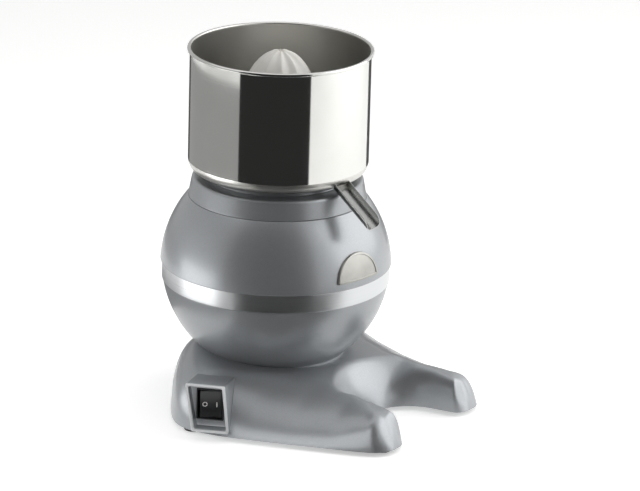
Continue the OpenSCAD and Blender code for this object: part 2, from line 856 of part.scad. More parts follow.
module stator_core() {
    color(iron) difference() {
        ring(rotor_r + air_gap, stator_r, stack_z0, stack_z1);
        around(4, bolt_circle) rod(bolt_r + fit, stack_z0 - over, stack_z1 + over);
    }
}

module winding(z) {
    color(copper) rotate_extrude() translate([winding_r0, z]) square([winding_r1 - winding_r0, winding_h]);
}

module upper_winding() {
    winding(stack_z1);
}

module lower_winding() {
    winding(stack_z0 - winding_h);
}

module rotor_core() {
    color(iron) ring(shaft_r, rotor_r, stack_z0, stack_z1);
}

module bearing(z) {
    color(steel) ring(shaft_r + fit, bearing_r, z, z + bearing_h);
}

module upper_bearing() {
    bearing(high_bearing_z);
}

module lower_bearing() {
    bearing(low_bearing_z);
}

module lower_shield() {
    color(dark) difference() {
        union() {
            ring(stator_r - rim_t, stator_r, shield_z0, stack_z0);
            rod(stator_r, shield_z0, shield_z0 + shield_t);
            rod(bearing_r + hub_wall, low_hub_z, shield_z0 + shield_t);
        }
        rod(shaft_r + shaft_gap, low_hub_z - over, stack_z0);
        rod(bearing_r, low_bearing_z, stack_z0);
        around(4, bolt_circle) rod(bolt_r + fit, shield_z0 - over, stack_z0 + over);
        motor_spots() rod(screw_r + fit, shield_z0 - over, shield_z0 + shield_t + over);
        rotate(lead_turn) translate([lead_up_r, 0, 0])
            rod(lead_r + lead_gap, shield_z0 - over, shield_z0 + shield_t + over);
    }
}

module upper_shield() {
    color(dark) difference() {
        union() {
            ring(stator_r - rim_t, stator_r, stack_z1, shield_z1 + shield_t);
            rod(stator_r, shield_z1, shield_z1 + shield_t);
            rod(bearing_r + hub_wall, shield_z1, shield_z1 + hub_h);
        }
        rod(shaft_r + shaft_gap, stack_z1, shield_z1 + hub_h + over);
        rod(bearing_r, stack_z1, high_bearing_z + bearing_h);
        around(4, bolt_circle) rod(bolt_r + fit, stack_z1 - over, shield_z1 + shield_t + over);
    }
}

module through_bolts() {
    color(iron) around(4, bolt_circle)
        screw(shield_z1 + shield_t, shield_z1 + shield_t - shield_z0, bolt_r, bolt_head_r);
}

module motor_screws() {
    color(iron) motor_spots() screw(shield_z0 + shield_t, shield_t + motor_thread);
}

module cooling_fan() {
    color(black) union() {
        ring(shaft_r, fan_hub_r, fan_z, fan_z + fan_h);
        ring(fan_hub_r - over, fan_r, fan_z, fan_z + fan_t);
        around(blade_count, fan_hub_r - over) rotate(blade_turn) translate([0, -fan_t / 2, fan_z])
            cube([fan_r - fan_hub_r - fan_tip_gap, fan_t, fan_h - blade_drop]);
    }
}

module shell_bolts() {
    color(iron) shell_bolt_spots() {
        rod(shell_bolt_r, floor_z - saddle_t, floor_z + floor_t + shell_bolt_end);
        rod(shell_bolt_r + shell_bolt_head_t, floor_z - saddle_t - shell_bolt_head_h, floor_z - saddle_t);
        ring(shell_bolt_r, shell_bolt_r + nut_t, floor_z + floor_t, floor_z + floor_t + nut_h);
    }
}

// Base and what is screwed to it

module boss_spots() {
    both_sides(plate_screw_spots) children();
}

module gland_way() {
    translate([0, base_back, gland_z]) rotate([-90, 0, 0]) children();
}

module base() {
    color(paint) difference() {
        union() {
            base_skin();
            rod(saddle_r, floor_z - saddle_t, saddle_top);
            for (s = plate_screw_spots, side = [-1, 1]) translate([side * s[0], s[1], 0])
                rod(boss_r, plate_top, boss_top(s, boss_r));
        }
        lower_ball(-fit);
        rod(lead_hole_r, floor_z - saddle_t - over, floor_z + over);
        shell_bolt_spots() rod(shell_bolt_r + fit, floor_z - saddle_t - over, floor_z + over);
        boss_spots() rod(plate_screw_r + fit, plate_z, plate_top + plate_thread + over);
        at_switch() hood_block(fit);
        gland_way() rod(gland_r + fit, -2 * gland_body, gland_r);
        gland_way() rod(gland_flange_r + fit, -gland_flange_in, gland_flange_r);
    }
}

module bottom_plate() {
    color(dark) difference() {
        translate([0, 0, plate_z]) linear_extrude(plate_t) inside_rim(plate_gap);
        boss_spots() rod(plate_screw_r + fit, plate_z - over, plate_top + over);
        both_sides(foot_spots) rod(foot_stem_r, plate_z - over, plate_top + over);
        around(vent_count, vent_r) translate([0, -vent_w / 2, plate_z - over])
            cube([vent_len, vent_w, plate_t + 2 * over]);
    }
}

module plate_screws() {
    color(iron) boss_spots() translate([0, 0, 2 * plate_z]) mirror([0, 0, 1])
        screw(plate_z, plate_t + plate_thread, plate_screw_r, plate_screw_head_r, plate_screw_head_h);
}

module feet() {
    color(black) both_sides(foot_spots) {
        rod(foot_r, 0, foot_h);
        rod(foot_neck_r, foot_h, plate_z);
        rod(foot_stem_r, foot_h, plate_top);
    }
}

module cable_gland() {
    color(black) gland_way() difference() {
        union() {
            rod(gland_r, -gland_flange_in - gland_body, -gland_flange_in);
            rod(gland_flange_r, -gland_flange_in, gland_flange_out);
        }
        rod(gland_bore_r, -gland_flange_in - gland_body - over, gland_flange_out + over);
    }
}

// Switch: X points out of the frame's face, Y to the front

module at_switch() {
    rotate(180 + switch_turn) translate([switch_face, switch_shift, 0]) children();
}

function frame_points(edge) = let (w = frame_w / 2 - edge, low = switch_low + edge,
    top = switch_low + frame_h - edge)
    [[-w, top], [w, top], [w + frame_lean_front, low], [frame_lean_rear - w, low]];

// The frame's outline, stood up and pushed from depth d0 to depth d1 behind the face
module frame_bar(edge, d0, d1) {
    translate([-d1, 0, 0]) rotate([90, 0, 90]) linear_extrude(d1 - d0) polygon(frame_points(edge));
}

// All that lies under the hood's top, which falls inwards, lowered by drop
module under_hood_top(drop) {
    top = switch_low + frame_h - drop;
    translate([0, frame_w, 0]) rotate([90, 0, 0]) linear_extrude(2 * frame_w)
        polygon([[0, 0], [0, top], [-hood_depth - over, top - hood_fall], [-hood_depth - over, 0]]);
}

module hood_block(gap) {
    intersection() {
        frame_bar(-gap, frame_depth, hood_depth);
        under_hood_top(-gap);
    }
}

module rocker_hole(w, h, d0, d1) {
    translate([-d1, rocker_y - w / 2, rocker_z - h / 2]) cube([d1 - d0, w, h]);
}

module switch_hood() {
    color(paint) at_switch() difference() {
        hood_block(0);
        frame_bar(hood_wall, 0, panel_out);
        intersection() {
            frame_bar(hood_wall, panel_out + panel_t, hood_depth + over);
            under_hood_top(hood_wall);
        }
        rocker_hole(housing_w + 2 * fit, housing_h + 2 * fit, panel_out - over, panel_out + panel_t + over);
    }
}

module switch_frame() {
    color(bright) at_switch() difference() {
        frame_bar(0, 0, frame_depth);
        frame_bar(frame_edge, -over, frame_depth + over);
    }
}

module switch_body() {
    color(black) at_switch() difference() {
        union() {
            rocker_hole(housing_w, housing_h, panel_out - bezel_t, well_end);
            rocker_hole(housing_w, housing_h - rear_drop, panel_out, panel_out + body_depth);
        }
        rocker_hole(rocker_w + 2 * rocker_gap, rocker_h + 2 * rocker_gap, 0, well_end - body_wall);
        at_pivot() rod(rocker_pin_r, -housing_h, housing_h);
    }
}

module at_pivot() {
    translate([-pivot_depth, rocker_y, rocker_z]) children();
}

module key_plan() {
    polygon([[key_out, -key_side], [key_out - key_dip, 0], [key_out, key_side], [0, key_side - key_taper],
        [-key_heel, key_side / 2], [-key_heel, -key_side / 2], [0, key_taper - key_side]]);
}

module rocker() {
    color(black) at_switch() at_pivot() rotate(rocker_tilt) difference() {
        translate([0, 0, -rocker_h / 2]) linear_extrude(rocker_h) key_plan();
        rod(rocker_pin_r + fit, -rocker_h, rocker_h);
    }
}

// The off ring on the key's rear half and the on bar on its front half
module rocker_marks() {
    color(white) at_switch() at_pivot() rotate(rocker_tilt) {
        for (side = [-1, 1]) translate([key_out - key_dip, 0, 0]) rotate(-side * key_angle)
            translate([fit, side * rocker_w / 4, 0]) rotate([0, 90, 0]) {
                if (side < 0) ring(mark_r0, mark_r1, 0, mark_t);
                if (side > 0) translate([-mark_bar[0] / 2, -mark_bar[1] / 2, 0])
                    cube([mark_bar[0], mark_bar[1], mark_t]);
            }
    }
}

module rocker_pin() {
    color(iron) at_switch() at_pivot() rod(rocker_pin_r, -housing_h / 2, housing_h / 2);
}

// Electrics in the base

module capacitor() {
    color(steel) translate([cap_spot[0], cap_spot[1], cap_z]) rotate([90, 0, 0])
        rod(cap_r, -cap_len / 2, cap_len / 2);
}

module capacitor_clip() {
    color(iron) translate([cap_spot[0], cap_spot[1], 0]) difference() {
        union() {
            translate([0, 0, cap_z]) rotate([90, 0, 0]) rod(cap_r + clip_t, -clip_w / 2, clip_w / 2);
            translate([-clip_w / 2, -clip_w / 2, plate_top]) cube([clip_w, clip_w, clip_foot]);
        }
        translate([0, 0, cap_z]) rotate([90, 0, 0]) rod(cap_r, -clip_w, clip_w);
    }
}

module terminal_block() {
    color(white) difference() {
        translate([block_face, block_spot[1] - block_size[1] / 2, plate_top]) cube(block_size);
        for (k = [-1, 0, 1]) translate([block_spot[0], block_spot[1] + k * pole_pitch, block_top])
            rod(pole_r, -pole_depth, over);
    }
}

// Way of a path at its point i, halfway between the runs that meet there
function way_at(path, i) = let (last = len(path) - 1, a = path[max(i, 1)] - path[max(i, 1) - 1],
    b = path[min(i, last - 1) + 1] - path[min(i, last - 1)], way = a / norm(a) + b / norm(b))
    way / norm(way);

// Ring of a wire at the path's point i, stretched across the bend so that the runs keep their thickness
function wire_ring(path, i) = let (way = way_at(path, i), run = path[max(i, 1)] - path[max(i, 1) - 1],
    across = cross(way, [0, 1, 0]), u = across / norm(across), v = cross(way, u),
    stretch = norm(run) / (run * way))
    [for (k = [0 : wire_sides - 1]) let (a = 360 * k / wire_sides)
        path[i] + lead_r * (cos(a) * stretch * u + sin(a) * v)];

module wire(path) {
    last = len(path) - 1;
    tube = [for (i = [0 : last - 1], k = [0 : wire_sides - 1])
        let (a = i * wire_sides + k, b = i * wire_sides + (k + 1) % wire_sides)
        each [[a, b + wire_sides, b], [a, a + wire_sides, b + wire_sides]]];
    ends = [[for (k = [0 : wire_sides - 1]) k], [for (k = [wire_sides - 1 : -1 : 0]) last * wire_sides + k]];
    polyhedron(points = [for (i = [0 : last]) each wire_ring(path, i)], faces = concat(tube, ends));
}

// Point in front of the block's pole k, at a distance from its face
function block_pole(k, back) = [block_face - back, block_spot[1] - pole_pitch * k, lead_z];

module leads() {
    color(copper) {
        for (k = [-1, 1]) wire([switch_terminal(k, run_gap), switch_terminal(k, lead_end),
            [lead_cross[0], -lead_cross[1] * k, lead_z], block_pole(k, lead_end), block_pole(k, run_gap)]);
        wire([riser(lead_up_r, stack_z0 - winding_h - run_gap), riser(lead_up_r, low_hub_z - lip_t),
            riser(lead_hole_r - lead_inset, low_hub_z - lead_bend), riser(lead_hole_r - lead_inset, lead_z),
            block_pole(0, lead_end), block_pole(0, run_gap)]);
    }
}

// Point of the wire that climbs to the motor
function riser(r, z) = [r * cos(lead_turn), r * sin(lead_turn), z];

// Place of a switch terminal, moved in by back behind the switch
function switch_terminal(k, back) = let (t = 180 + switch_turn, x = switch_back - back,
    y = switch_shift + rocker_y + lead_pair * k)
    [x * cos(t) - y * sin(t), x * sin(t) + y * cos(t), rocker_z - lead_drop];

bowl();
spout();
strainer();
reamer();
drive_shaft();
drive_pin();
slinger();
shaft_seal();
seat_gasket();
top_collar();
collar_screws();
upper_shell();
trim_band();
lower_shell();
joint_screws();
badge();
badge_pins();
base();
bottom_plate();
plate_screws();
feet();
switch_hood();
switch_frame();
switch_body();
rocker();
rocker_marks();
rocker_pin();
stator_core();
upper_winding();
lower_winding();
rotor_core();
upper_bearing();
lower_bearing();
upper_shield();
lower_shield();
through_bolts();
motor_screws();
cooling_fan();
capacitor();
capacitor_clip();
terminal_block();
leads();
cable_gland();
shell_bolts();
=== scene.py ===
# Looks of an electric citrus juicer: silver ball, two-legged base, steel bowl, white reaming cone
import math

import bmesh
import bpy
from mathutils import Matrix, Vector


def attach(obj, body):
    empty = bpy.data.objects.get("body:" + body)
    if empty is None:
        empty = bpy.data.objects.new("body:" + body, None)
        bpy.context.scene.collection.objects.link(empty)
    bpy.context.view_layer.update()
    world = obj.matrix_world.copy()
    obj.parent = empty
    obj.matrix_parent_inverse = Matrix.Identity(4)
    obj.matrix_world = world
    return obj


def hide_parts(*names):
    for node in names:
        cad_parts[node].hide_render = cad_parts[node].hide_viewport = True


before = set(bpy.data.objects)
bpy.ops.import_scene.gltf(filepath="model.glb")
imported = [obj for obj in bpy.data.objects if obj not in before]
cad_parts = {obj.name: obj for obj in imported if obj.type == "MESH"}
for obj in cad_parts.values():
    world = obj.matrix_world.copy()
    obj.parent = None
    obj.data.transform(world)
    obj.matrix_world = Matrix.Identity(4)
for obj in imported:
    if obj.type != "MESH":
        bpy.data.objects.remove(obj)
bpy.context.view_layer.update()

# Sizes are in millimetres, the same as the solids have
MM = 0.001

# Steps of a turn and a fillet, degrees of a ball's step, least angle of a hard edge, and gap to be closed
TURN_STEPS = 192
FILLET_STEPS = 6
BALL_STEP = 1.2
SHARP = math.radians(34)
MERGE_GAP = 0.001

# Most of a side that a fillet takes, and the guard line beside it with its share of what is left
FILLET_SHARE = 0.49
FILLET_GUARD = 0.6
GUARD_SHARE = 0.2

# Ball
BALL_R = 103.5
BALL_Z = 122.5
SHELL_WALL = 3.5
LOWER_R = 102.3
LOWER_Z = 126.6
FLOOR_Z = 34.0
FLOOR_T = 5.0
LEAD_HOLE_R = 24.0
BAND_Z0 = 110.9
BAND_Z1 = 127.3
BAND_R = 101.8
BAND_GAP = 0.05
NECK_R0 = 91.0
NECK_R1 = 99.6
FLANGE_T = 5.0
FLANGE_R0 = 60.0
SEAM_R = 0.8
PLINTH_Z = 46.0
PLINTH_FILLET = 2.5
PLINTH_LOW = 40.0

# Collar and gasket
COLLAR_R = 79.5
COLLAR_Z = 188.4
COLLAR_TOP = 206.0
COLLAR_WALL = 4.0
COLLAR_EDGE_R = 3.0
COLLAR_TAPER = 3.2
SEAT_R0 = 54.0
SEAT_R1 = 62.0
SEAT_TOP = 210.1
GASKET_TOP = 211.8
SPIGOT_R0 = 9.0
SPIGOT_R1 = 12.5
SPIGOT_TOP = 234.1

# Bowl, spout and strainer
BOWL_R = 80.5
BOWL_WALL = 1.0
BOWL_LOW = 212.1
CORNER_R = 10.0
RIM_Z = 323.1
BEAD_R = 1.7
CHIMNEY_R = 13.6
CHIMNEY_TOP = 239.1
SPOUT_TURN = math.radians(-101)
SPOUT_R = 9.0
SPOUT_WALL = 1.0
SPOUT_REACH = 120.6
SPOUT_END_Z = 191.05
SPOUT_FALL = math.radians(32.8)
SPOUT_LEN = 64.4
SPOUT_OVERRUN = 8.0
WELD_GAP = 0.05
LIP_RUN = 10.0
LIP_DROP = 6.5
# Steps of the gutter's arcs. They lie clear of whole counts, because arc() rounds its count up
# and every section needs equally many points.
LIP_STEP = 31
GUTTER_PARTS = 29.5
STRAINER_Z = 221.1
STRAINER_T = 1.0
STRAINER_R = 73.5
STRAINER_NECK_R = 16.5
STRAINER_FOOT_R = 62.5
STRAINER_LOW = 213.4
STRAINER_RIM_H = 4.0
STRAINER_SLEEVE_H = 5.0
HOLE_RINGS = (24.0, 34.0, 44.0, 54.0)
HOLE_R = 1.6
HOLES_PER_MM = 0.7

# Reamer
REAMER_R = 40.0
REAMER_H = 76.0
REAMER_BASE = 246.7
REAMER_LOW = 234.1
RIB_COUNT = 10
RIB_DEPTH = 2.2
RIB_POWER = 1.35
REAMER_STEPS = 240
TIP_TILT = 83
TIP_DIMPLE = 2.2
DIMPLE_RINGS = (0.8, 0.6, 0.4, 0.2, 0.02)
CAVITY_R = 34.0
CAVITY_TOP = 250.1
CAVITY_BEVEL = 2.0
HUB_R = 14.0
HUB_LOW = 242.1
BORE_R = 7.8
BORE_TOP = 267.1
PIN_SLOT_W = 4.6
PIN_SLOT_TOP = 247.4

# Base
FOOT_H = 4.0
BASE_WALL = 4.5
LEG_REACH = 172.0
NOSE_RUN = 7.0
NOSE_POWER = 2.6
TIP_WALL = 9.5
TIP_LEAN = 9.0
TIP_H = 27.0
TIP_OUTER_R = 12.0
TIP_INNER_R = 5.0
TIP_STATIONS = 1.56
# Stations between the leg's front and the outline's next corner, closest at the front
NOSE_STATIONS = (0, 0.003, 0.01, 0.022, 0.04, 0.065, 0.095, 0.13, 0.17, 0.215, 0.265, 0.32, 0.38, 0.45, 0.53,
                 0.62, 0.72, 0.85)
STATIONS_PER_SPAN = 5
SKIN_COLUMNS = 44
SKIN_EVENNESS = 0.35

# Plan of one half: the outside from the leg's front to the back, and the inside with the cut-out's arc
CUTOUT_R = 43.0
CUTOUT_Y = -148.5
OUTER_CORNERS = ((79, -172), (90.6, -148.6), (101.8, -118), (113.4, -85.1), (124, -53.5), (131, -28),
                 (133.48, -8), (132, 7), (127, 18), (118.5, 28), (104, 40), (83, 54), (48, 72), (0, 82))
MOUTH_CORNERS = ((52, -172), (46, -166), (44.3, -158))
CUTOUT_ANGLES = (0, 14, 28, 41, 52, 61, 69, 75.5, 81, 85.7, 90)

# By place from front to back: the crown's height, and the run and power of its rise from either side
HEIGHT_AT = ((-172, 26.5), (-160, 29), (-150, 31), (-120, 35.5), (-85, 39.5), (-45, 43.2), (0, 46),
             (30, 49), (84, 51))
OUTER_RUN_AT = ((-172, 9), (-160, 18), (-145, 32), (-120, 48), (-85, 62), (-50, 62), (-25, 54), (0, 44),
                (20, 36), (45, 29), (84, 25))
OUTER_POWER_AT = ((-172, 2.4), (-150, 1.7), (-120, 1.4), (-50, 1.42), (-25, 1.5), (0, 1.8), (20, 2.15),
                  (45, 2.5), (84, 2.6))
INNER_RUN_AT = ((-172, 9), (-160, 10), (-140, 12), (-120, 17), (-105, 28))
INNER_POWER_AT = ((-172, 2.2), (-140, 2), (-120, 1.6), (-105, 1.3))

# Feet, underside plate and its screws
FEET = ((65, -158), (121, 4), (76, 42))
FOOT_R = 8.5
FOOT_NECK_R = 4.0
FOOT_STEM_R = 3.0
PLATE_Z = 5.0
PLATE_TOP = 6.5
PLATE_SCREWS = ((67, -140), (100, -75), (40, 64))

# Gland of the lead, with lengths from the base's back face
GLAND_Y = 82.0
GLAND_Z = 22.0
GLAND_R = 8.0
GLAND_BORE_R = 4.0
GLAND_INNER_END = -16.0
GLAND_FLANGE_R = 11.0
GLAND_FLANGE_BACK = -3.0
GLAND_FLANGE_FACE = 1.4
GLAND_LIP_R = 7.4
GLAND_LIP_FOOT_R = 8.6
GLAND_LIP_FACE = 3.0
GLAND_MOUTH_R = 4.6
GLAND_PLAY = 0.05
GLAND_SEAT_ENDS = (-30.0, 20.0)

# Switch, in a frame of depth behind its face, way to the front and height
SWITCH_TURN = math.radians(202.2)
SWITCH_OUT = 139.4
SWITCH_SHIFT = -33.9
FRAME_HALF_W = 17.7
FRAME_TOP = 53.0
FRAME_LOW = 8.8
FRAME_LEAN_FRONT = 4.4
FRAME_LEAN_REAR = 6.2
FRAME_EDGE = 2.4
FRAME_DEPTH = 2.0
HOOD_DEPTH = 46.0
HOOD_FALL = 7.0 / 48.0
HOOD_WALL = 2.6
HOOD_CORNER_R = 1.6
HOOD_PLAY = 0.02
PANEL_DEPTH = 11.0
PANEL_T = 2.4
ROCKER_Y = 3.0
ROCKER_Z = 31.8
ROCKER_W = 21.0
ROCKER_H = 25.0
ROCKER_GAP = 0.4
CASE_W = 24.4
CASE_H = 28.4
CASE_PROUD = 1.3
CASE_PLAY = 0.1
WELL_END = 21.5
PIVOT_DEPTH = 15.5
KEY_OUT = 6.2
KEY_DIP = 1.2
KEY_DIP_POWER = 1.4
KEY_HEEL = 3.2
KEY_SIDE = 9.5
KEY_TILT = math.radians(8)
MARK_PROUD = 0.1
MARK_RING_R0 = 1.5
MARK_RING_R1 = 2.2
MARK_BAR_W = 0.8
MARK_BAR_H = 4.6

# Front plate
BADGE_W = 49.0
BADGE_LOW = 134.0
BADGE_BORDER = 2.0
BADGE_RAISE = 0.6
BADGE_T = 1.5
BADGE_GAP = 0.15


# Outlines

def arc(x, y, radius, start, end, step=6):
    """Points of an arc from one angle to another, in degrees, with no rounding of their own."""
    count = max(2, math.ceil(abs(end - start) / step))
    angles = [math.radians(start + (end - start) * i / count) for i in range(count + 1)]
    return [(x + radius * math.cos(a), y + radius * math.sin(a), 0) for a in angles]


def ball_arc(radius, centre, z0, z1):
    """The part of a ball's outline between two heights."""
    start = math.degrees(math.asin((z0 - centre) / radius))
    end = math.degrees(math.asin((z1 - centre) / radius))
    return arc(0, centre, radius, start, end, BALL_STEP)


def girth(radius, centre, z):
    """Radius of a ball's outline at a height."""
    return math.sqrt(radius ** 2 - (z - centre) ** 2)


def turned_way(turn, out, side, z):
    """A point at a reach and to the side of a way that is turned about the motor's axis."""
    cos = math.cos(turn)
    sin = math.sin(turn)
    return (out * cos - side * sin, out * sin + side * cos, z)


def rounded(corners):
    """Closed outline through corners of x, y and fillet radius, with a guard line beside each fillet."""
    outline = []
    for i, (x, y, radius) in enumerate(corners):
        here = Vector((x, y))
        if not radius:
            outline.append((x, y))
            continue
        before = Vector(corners[i - 1][:2]) - here
        after = Vector(corners[(i + 1) % len(corners)][:2]) - here
        half = before.angle(after) / 2
        longest = FILLET_SHARE * min(before.length, after.length)
        reach = min(radius / math.tan(half), longest)
        guard_a = min(FILLET_GUARD, GUARD_SHARE * (before.length - reach))
        guard_b = min(FILLET_GUARD, GUARD_SHARE * (after.length - reach))
        a = before.normalized()
        b = after.normalized()
        centre = here + (a + b).normalized() * reach / math.cos(half)
        start = here + a * reach - centre
        end = here + b * reach - centre
        sweep = math.pi - 2 * half
        outline.append(tuple(here + a * (reach + guard_a)))
        for k in range(FILLET_STEPS + 1):
            t = k / FILLET_STEPS
            spoke = (start * math.sin((1 - t) * sweep) + end * math.sin(t * sweep)) / math.sin(sweep)
            outline.append(tuple(centre + spoke))
        outline.append(tuple(here + b * (reach + guard_b)))
    return outline


# Meshes

def add_object(name, mesh):
    obj = bpy.data.objects.new(name, mesh)
    bpy.context.scene.collection.objects.link(obj)
    return obj


def mesh_object(name, points, faces):
    mesh = bpy.data.meshes.new(name)
    mesh.from_pydata(points, [], faces)
    return add_object(name, mesh)


def settle(obj):
    """Closes seams and poles, turns the faces outwards and keeps hard edges only at corners."""
    work = bmesh.new()
    work.from_mesh(obj.data)
    bmesh.ops.remove_doubles(work, verts=work.verts, dist=MERGE_GAP * MM)
    bmesh.ops.recalc_face_normals(work, faces=work.faces)
    work.to_mesh(obj.data)
    work.free()
    obj.data.shade_smooth()
    obj.data.set_sharp_from_angle(angle=SHARP)
    return obj


def solid(name, points, faces):
    """A closed piece from points in millimetres."""
    return settle(mesh_object(name, [Vector(p) * MM for p in points], faces))


def loft(name, loops, ring=False):
    """Skin over loops of equally many points, closed into a ring or capped at both ends."""
    count = len(loops[0])
    points = [p for loop in loops for p in loop]
    spans = len(loops) if ring else len(loops) - 1
    faces = []
    for i in range(spans):
        here = i * count
        there = (i + 1) % len(loops) * count
        for k in range(count):
            m = (k + 1) % count
            faces.append((here + k, here + m, there + m, there + k))
    if not ring:
        faces.append(tuple(range(count)))
        faces.append(tuple(range(len(points) - count, len(points))))
    return solid(name, points, faces)


def lathe(name, corners, place=lambda x, y, z: (x, y, z), steps=TURN_STEPS):
    """Outline of radius and height turned round the motor's axis, or put elsewhere by place."""
    outline = rounded(corners)
    loops = []
    for i in range(steps):
        a = math.tau * i / steps
        loops.append([place(r * math.cos(a), r * math.sin(a), z) for r, z in outline])
    return loft(name, loops, ring=True)


def made(obj):
    """The object's mesh with its modifiers applied, put in place of its own mesh."""
    evaluated = obj.evaluated_get(bpy.context.evaluated_depsgraph_get())
    mesh = bpy.data.meshes.new_from_object(evaluated)
    obj.modifiers.clear()
    obj.data = mesh
    return obj


def cut(obj, *cutters):
    for cutter in cutters:
        hole = obj.modifiers.new("cut", "BOOLEAN")
        hole.operation = "DIFFERENCE"
        hole.solver = "EXACT"
        hole.object = cutter
    made(obj)
    for cutter in cutters:
        bpy.data.objects.remove(cutter)
    return settle(obj)


def dress(obj, finish, body, slot, *nodes):
    """Gives a piece its finish, its body and the nodes that it stands for."""
    obj.data.materials.clear()
    obj.data.materials.append(finish)
    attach(obj, body)
    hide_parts(*nodes)
    return obj


# Materials

def linear(code):
    """Linear colour of an sRGB hex value."""
    parts = [int(code[i:i + 2], 16) / 255 for i in (1, 3, 5)]
    return tuple(c / 12.92 if c <= 0.04045 else ((c + 0.055) / 1.055) ** 2.4 for c in parts) + (1.0,)


def node(tree, kind, inputs=None, output=0, **settings):
    """Adds a node with its settings and links, and gives one of its outputs.

    Each input is a value or the socket that feeds it.
    """
    new = tree.nodes.new(kind)
    for name, value in settings.items():
        setattr(new, name, value)
    for key, value in (inputs or {}).items():
        if isinstance(value, bpy.types.NodeSocket):
            tree.links.new(value, new.inputs[key])
        else:
            new.inputs[key].default_value = value
    return new.outputs[output] if new.outputs else None


def material(name):
    """An empty material with its node tree and the object coordinates in metres."""
    coat = bpy.data.materials.new(name)
    coat.use_nodes = True
    tree = coat.node_tree
    tree.nodes.clear()
    return coat, tree, node(tree, "ShaderNodeTexCoord", output="Object")


def grains(size_mm):
    """Scale of a pattern whose features are this wide; patterns too fine to show are given coarser widths
    where they are made.
    """
    return 1 / (size_mm * MM)


def finish(coat, look):
    """Ends a material with its shader."""
    shader = node(coat.node_tree, "ShaderNodeBsdfPrincipled", look)
    node(coat.node_tree, "ShaderNodeOutputMaterial", {"Surface": shader})
    return coat


def silver_paint():
    """Sprayed silver metallic lacquer on die-cast aluminium: fine flakes, faint orange peel, soft gloss."""
    coat, tree, place = material("silver_metallic_paint")
    flakes = node(tree, "ShaderNodeTexVoronoi", {"Vector": place, "Scale": grains(0.45)}, "Color")
    cloud = node(tree, "ShaderNodeTexNoise", {"Vector": place, "Scale": grains(60), "Detail": 3.0})
    peel = node(tree, "ShaderNodeTexNoise", {"Vector": place, "Scale": grains(2.4), "Detail": 2.0})
    sparkle = node(tree, "ShaderNodeMix", {
        "Factor": flakes, "A": linear("#9A9DA0"), "B": linear("#A8ABAE")}, "Result", data_type="RGBA")
    haze = node(tree, "ShaderNodeMapRange", {"Value": cloud, "To Min": 0.0, "To Max": 0.3})
    tone = node(tree, "ShaderNodeMix", {
        "Factor": haze, "A": sparkle, "B": linear("#A0A2A5")}, "Result", data_type="RGBA")
    return finish(coat, {
        "Base Color": tone, "Metallic": 0.62,
        "Roughness": node(tree, "ShaderNodeMapRange", {"Value": cloud, "To Min": 0.34, "To Max": 0.4}),
        "Coat Weight": 0.35, "Coat Roughness": 0.15,
        "Normal": node(tree, "ShaderNodeBump", {"Height": peel, "Distance": 0.012 * MM, "Strength": 1.0})})


def mirror_steel():
    """Deep-drawn stainless steel: a mirror-polished wall with fine turned lines, satin inside and below."""
    coat, tree, place = material("mirror_polished_steel")
    along = grains(333)
    turned = node(tree, "ShaderNodeMapping", {"Vector": place, "Scale": (along, along, grains(1.11))})
    lines = node(tree, "ShaderNodeTexNoise", {"Vector": turned, "Scale": 1.0, "Detail": 4.0})
    smudge = node(tree, "ShaderNodeTexNoise", {"Vector": place, "Scale": grains(30), "Detail": 4.0})
    level = node(tree, "ShaderNodeVectorMath", {0: place, 1: (1.0, 1.0, 0.0)}, operation="MULTIPLY")
    reach = node(tree, "ShaderNodeVectorMath", {0: level}, "Value", operation="LENGTH")
    height = node(tree, "ShaderNodeSeparateXYZ", {"Vector": place}, "Z")
    wall = (BOWL_R - BOWL_WALL / 2) * MM
    corner = (BOWL_LOW + CORNER_R) * MM
    outside = node(tree, "ShaderNodeMath", {0: reach, 1: wall}, operation="GREATER_THAN")
    above = node(tree, "ShaderNodeMath", {0: height, 1: corner}, operation="GREATER_THAN")
    polished = node(tree, "ShaderNodeMath", {0: outside, 1: above}, operation="MULTIPLY")
    polish = node(tree, "ShaderNodeMix", {
        "Factor": smudge, "A": linear("#D5D5D1"), "B": linear("#DEDEDB")}, "Result", data_type="RGBA")
    satin = node(tree, "ShaderNodeMix", {
        "Factor": smudge, "A": linear("#CDCCC7"), "B": linear("#D6D5D1")}, "Result", data_type="RGBA")
    gloss = node(tree, "ShaderNodeMapRange", {"Value": lines, "To Min": 0.05, "To Max": 0.1})
    return finish(coat, {
        "Base Color": node(tree, "ShaderNodeMix", {
            "Factor": polished, "A": satin, "B": polish}, "Result", data_type="RGBA"),
        "Metallic": 1.0,
        "Roughness": node(tree, "ShaderNodeMix", {"Factor": polished, "A": 0.33, "B": gloss}, "Result"),
        "Normal": node(tree, "ShaderNodeBump", {"Height": lines, "Distance": 0.002 * MM, "Strength": 0.4})})


def bright_aluminium():
    """Bright anodised aluminium strip, drawn lengthwise: pale, satin, with faint lines along it."""
    coat, tree, place = material("bright_anodised_aluminium")
    along = grains(83)
    drawn = node(tree, "ShaderNodeMapping", {"Vector": place, "Scale": (along, along, grains(0.455))})
    lines = node(tree, "ShaderNodeTexNoise", {"Vector": drawn, "Scale": 1.0, "Detail": 3.0})
    return finish(coat, {
        "Base Color": node(tree, "ShaderNodeMix", {
            "Factor": lines, "A": linear("#C9CBCD"), "B": linear("#DCDEDF")}, "Result", data_type="RGBA"),
        "Metallic": 0.95,
        "Roughness": node(tree, "ShaderNodeMapRange", {"Value": lines, "To Min": 0.26, "To Max": 0.32})})


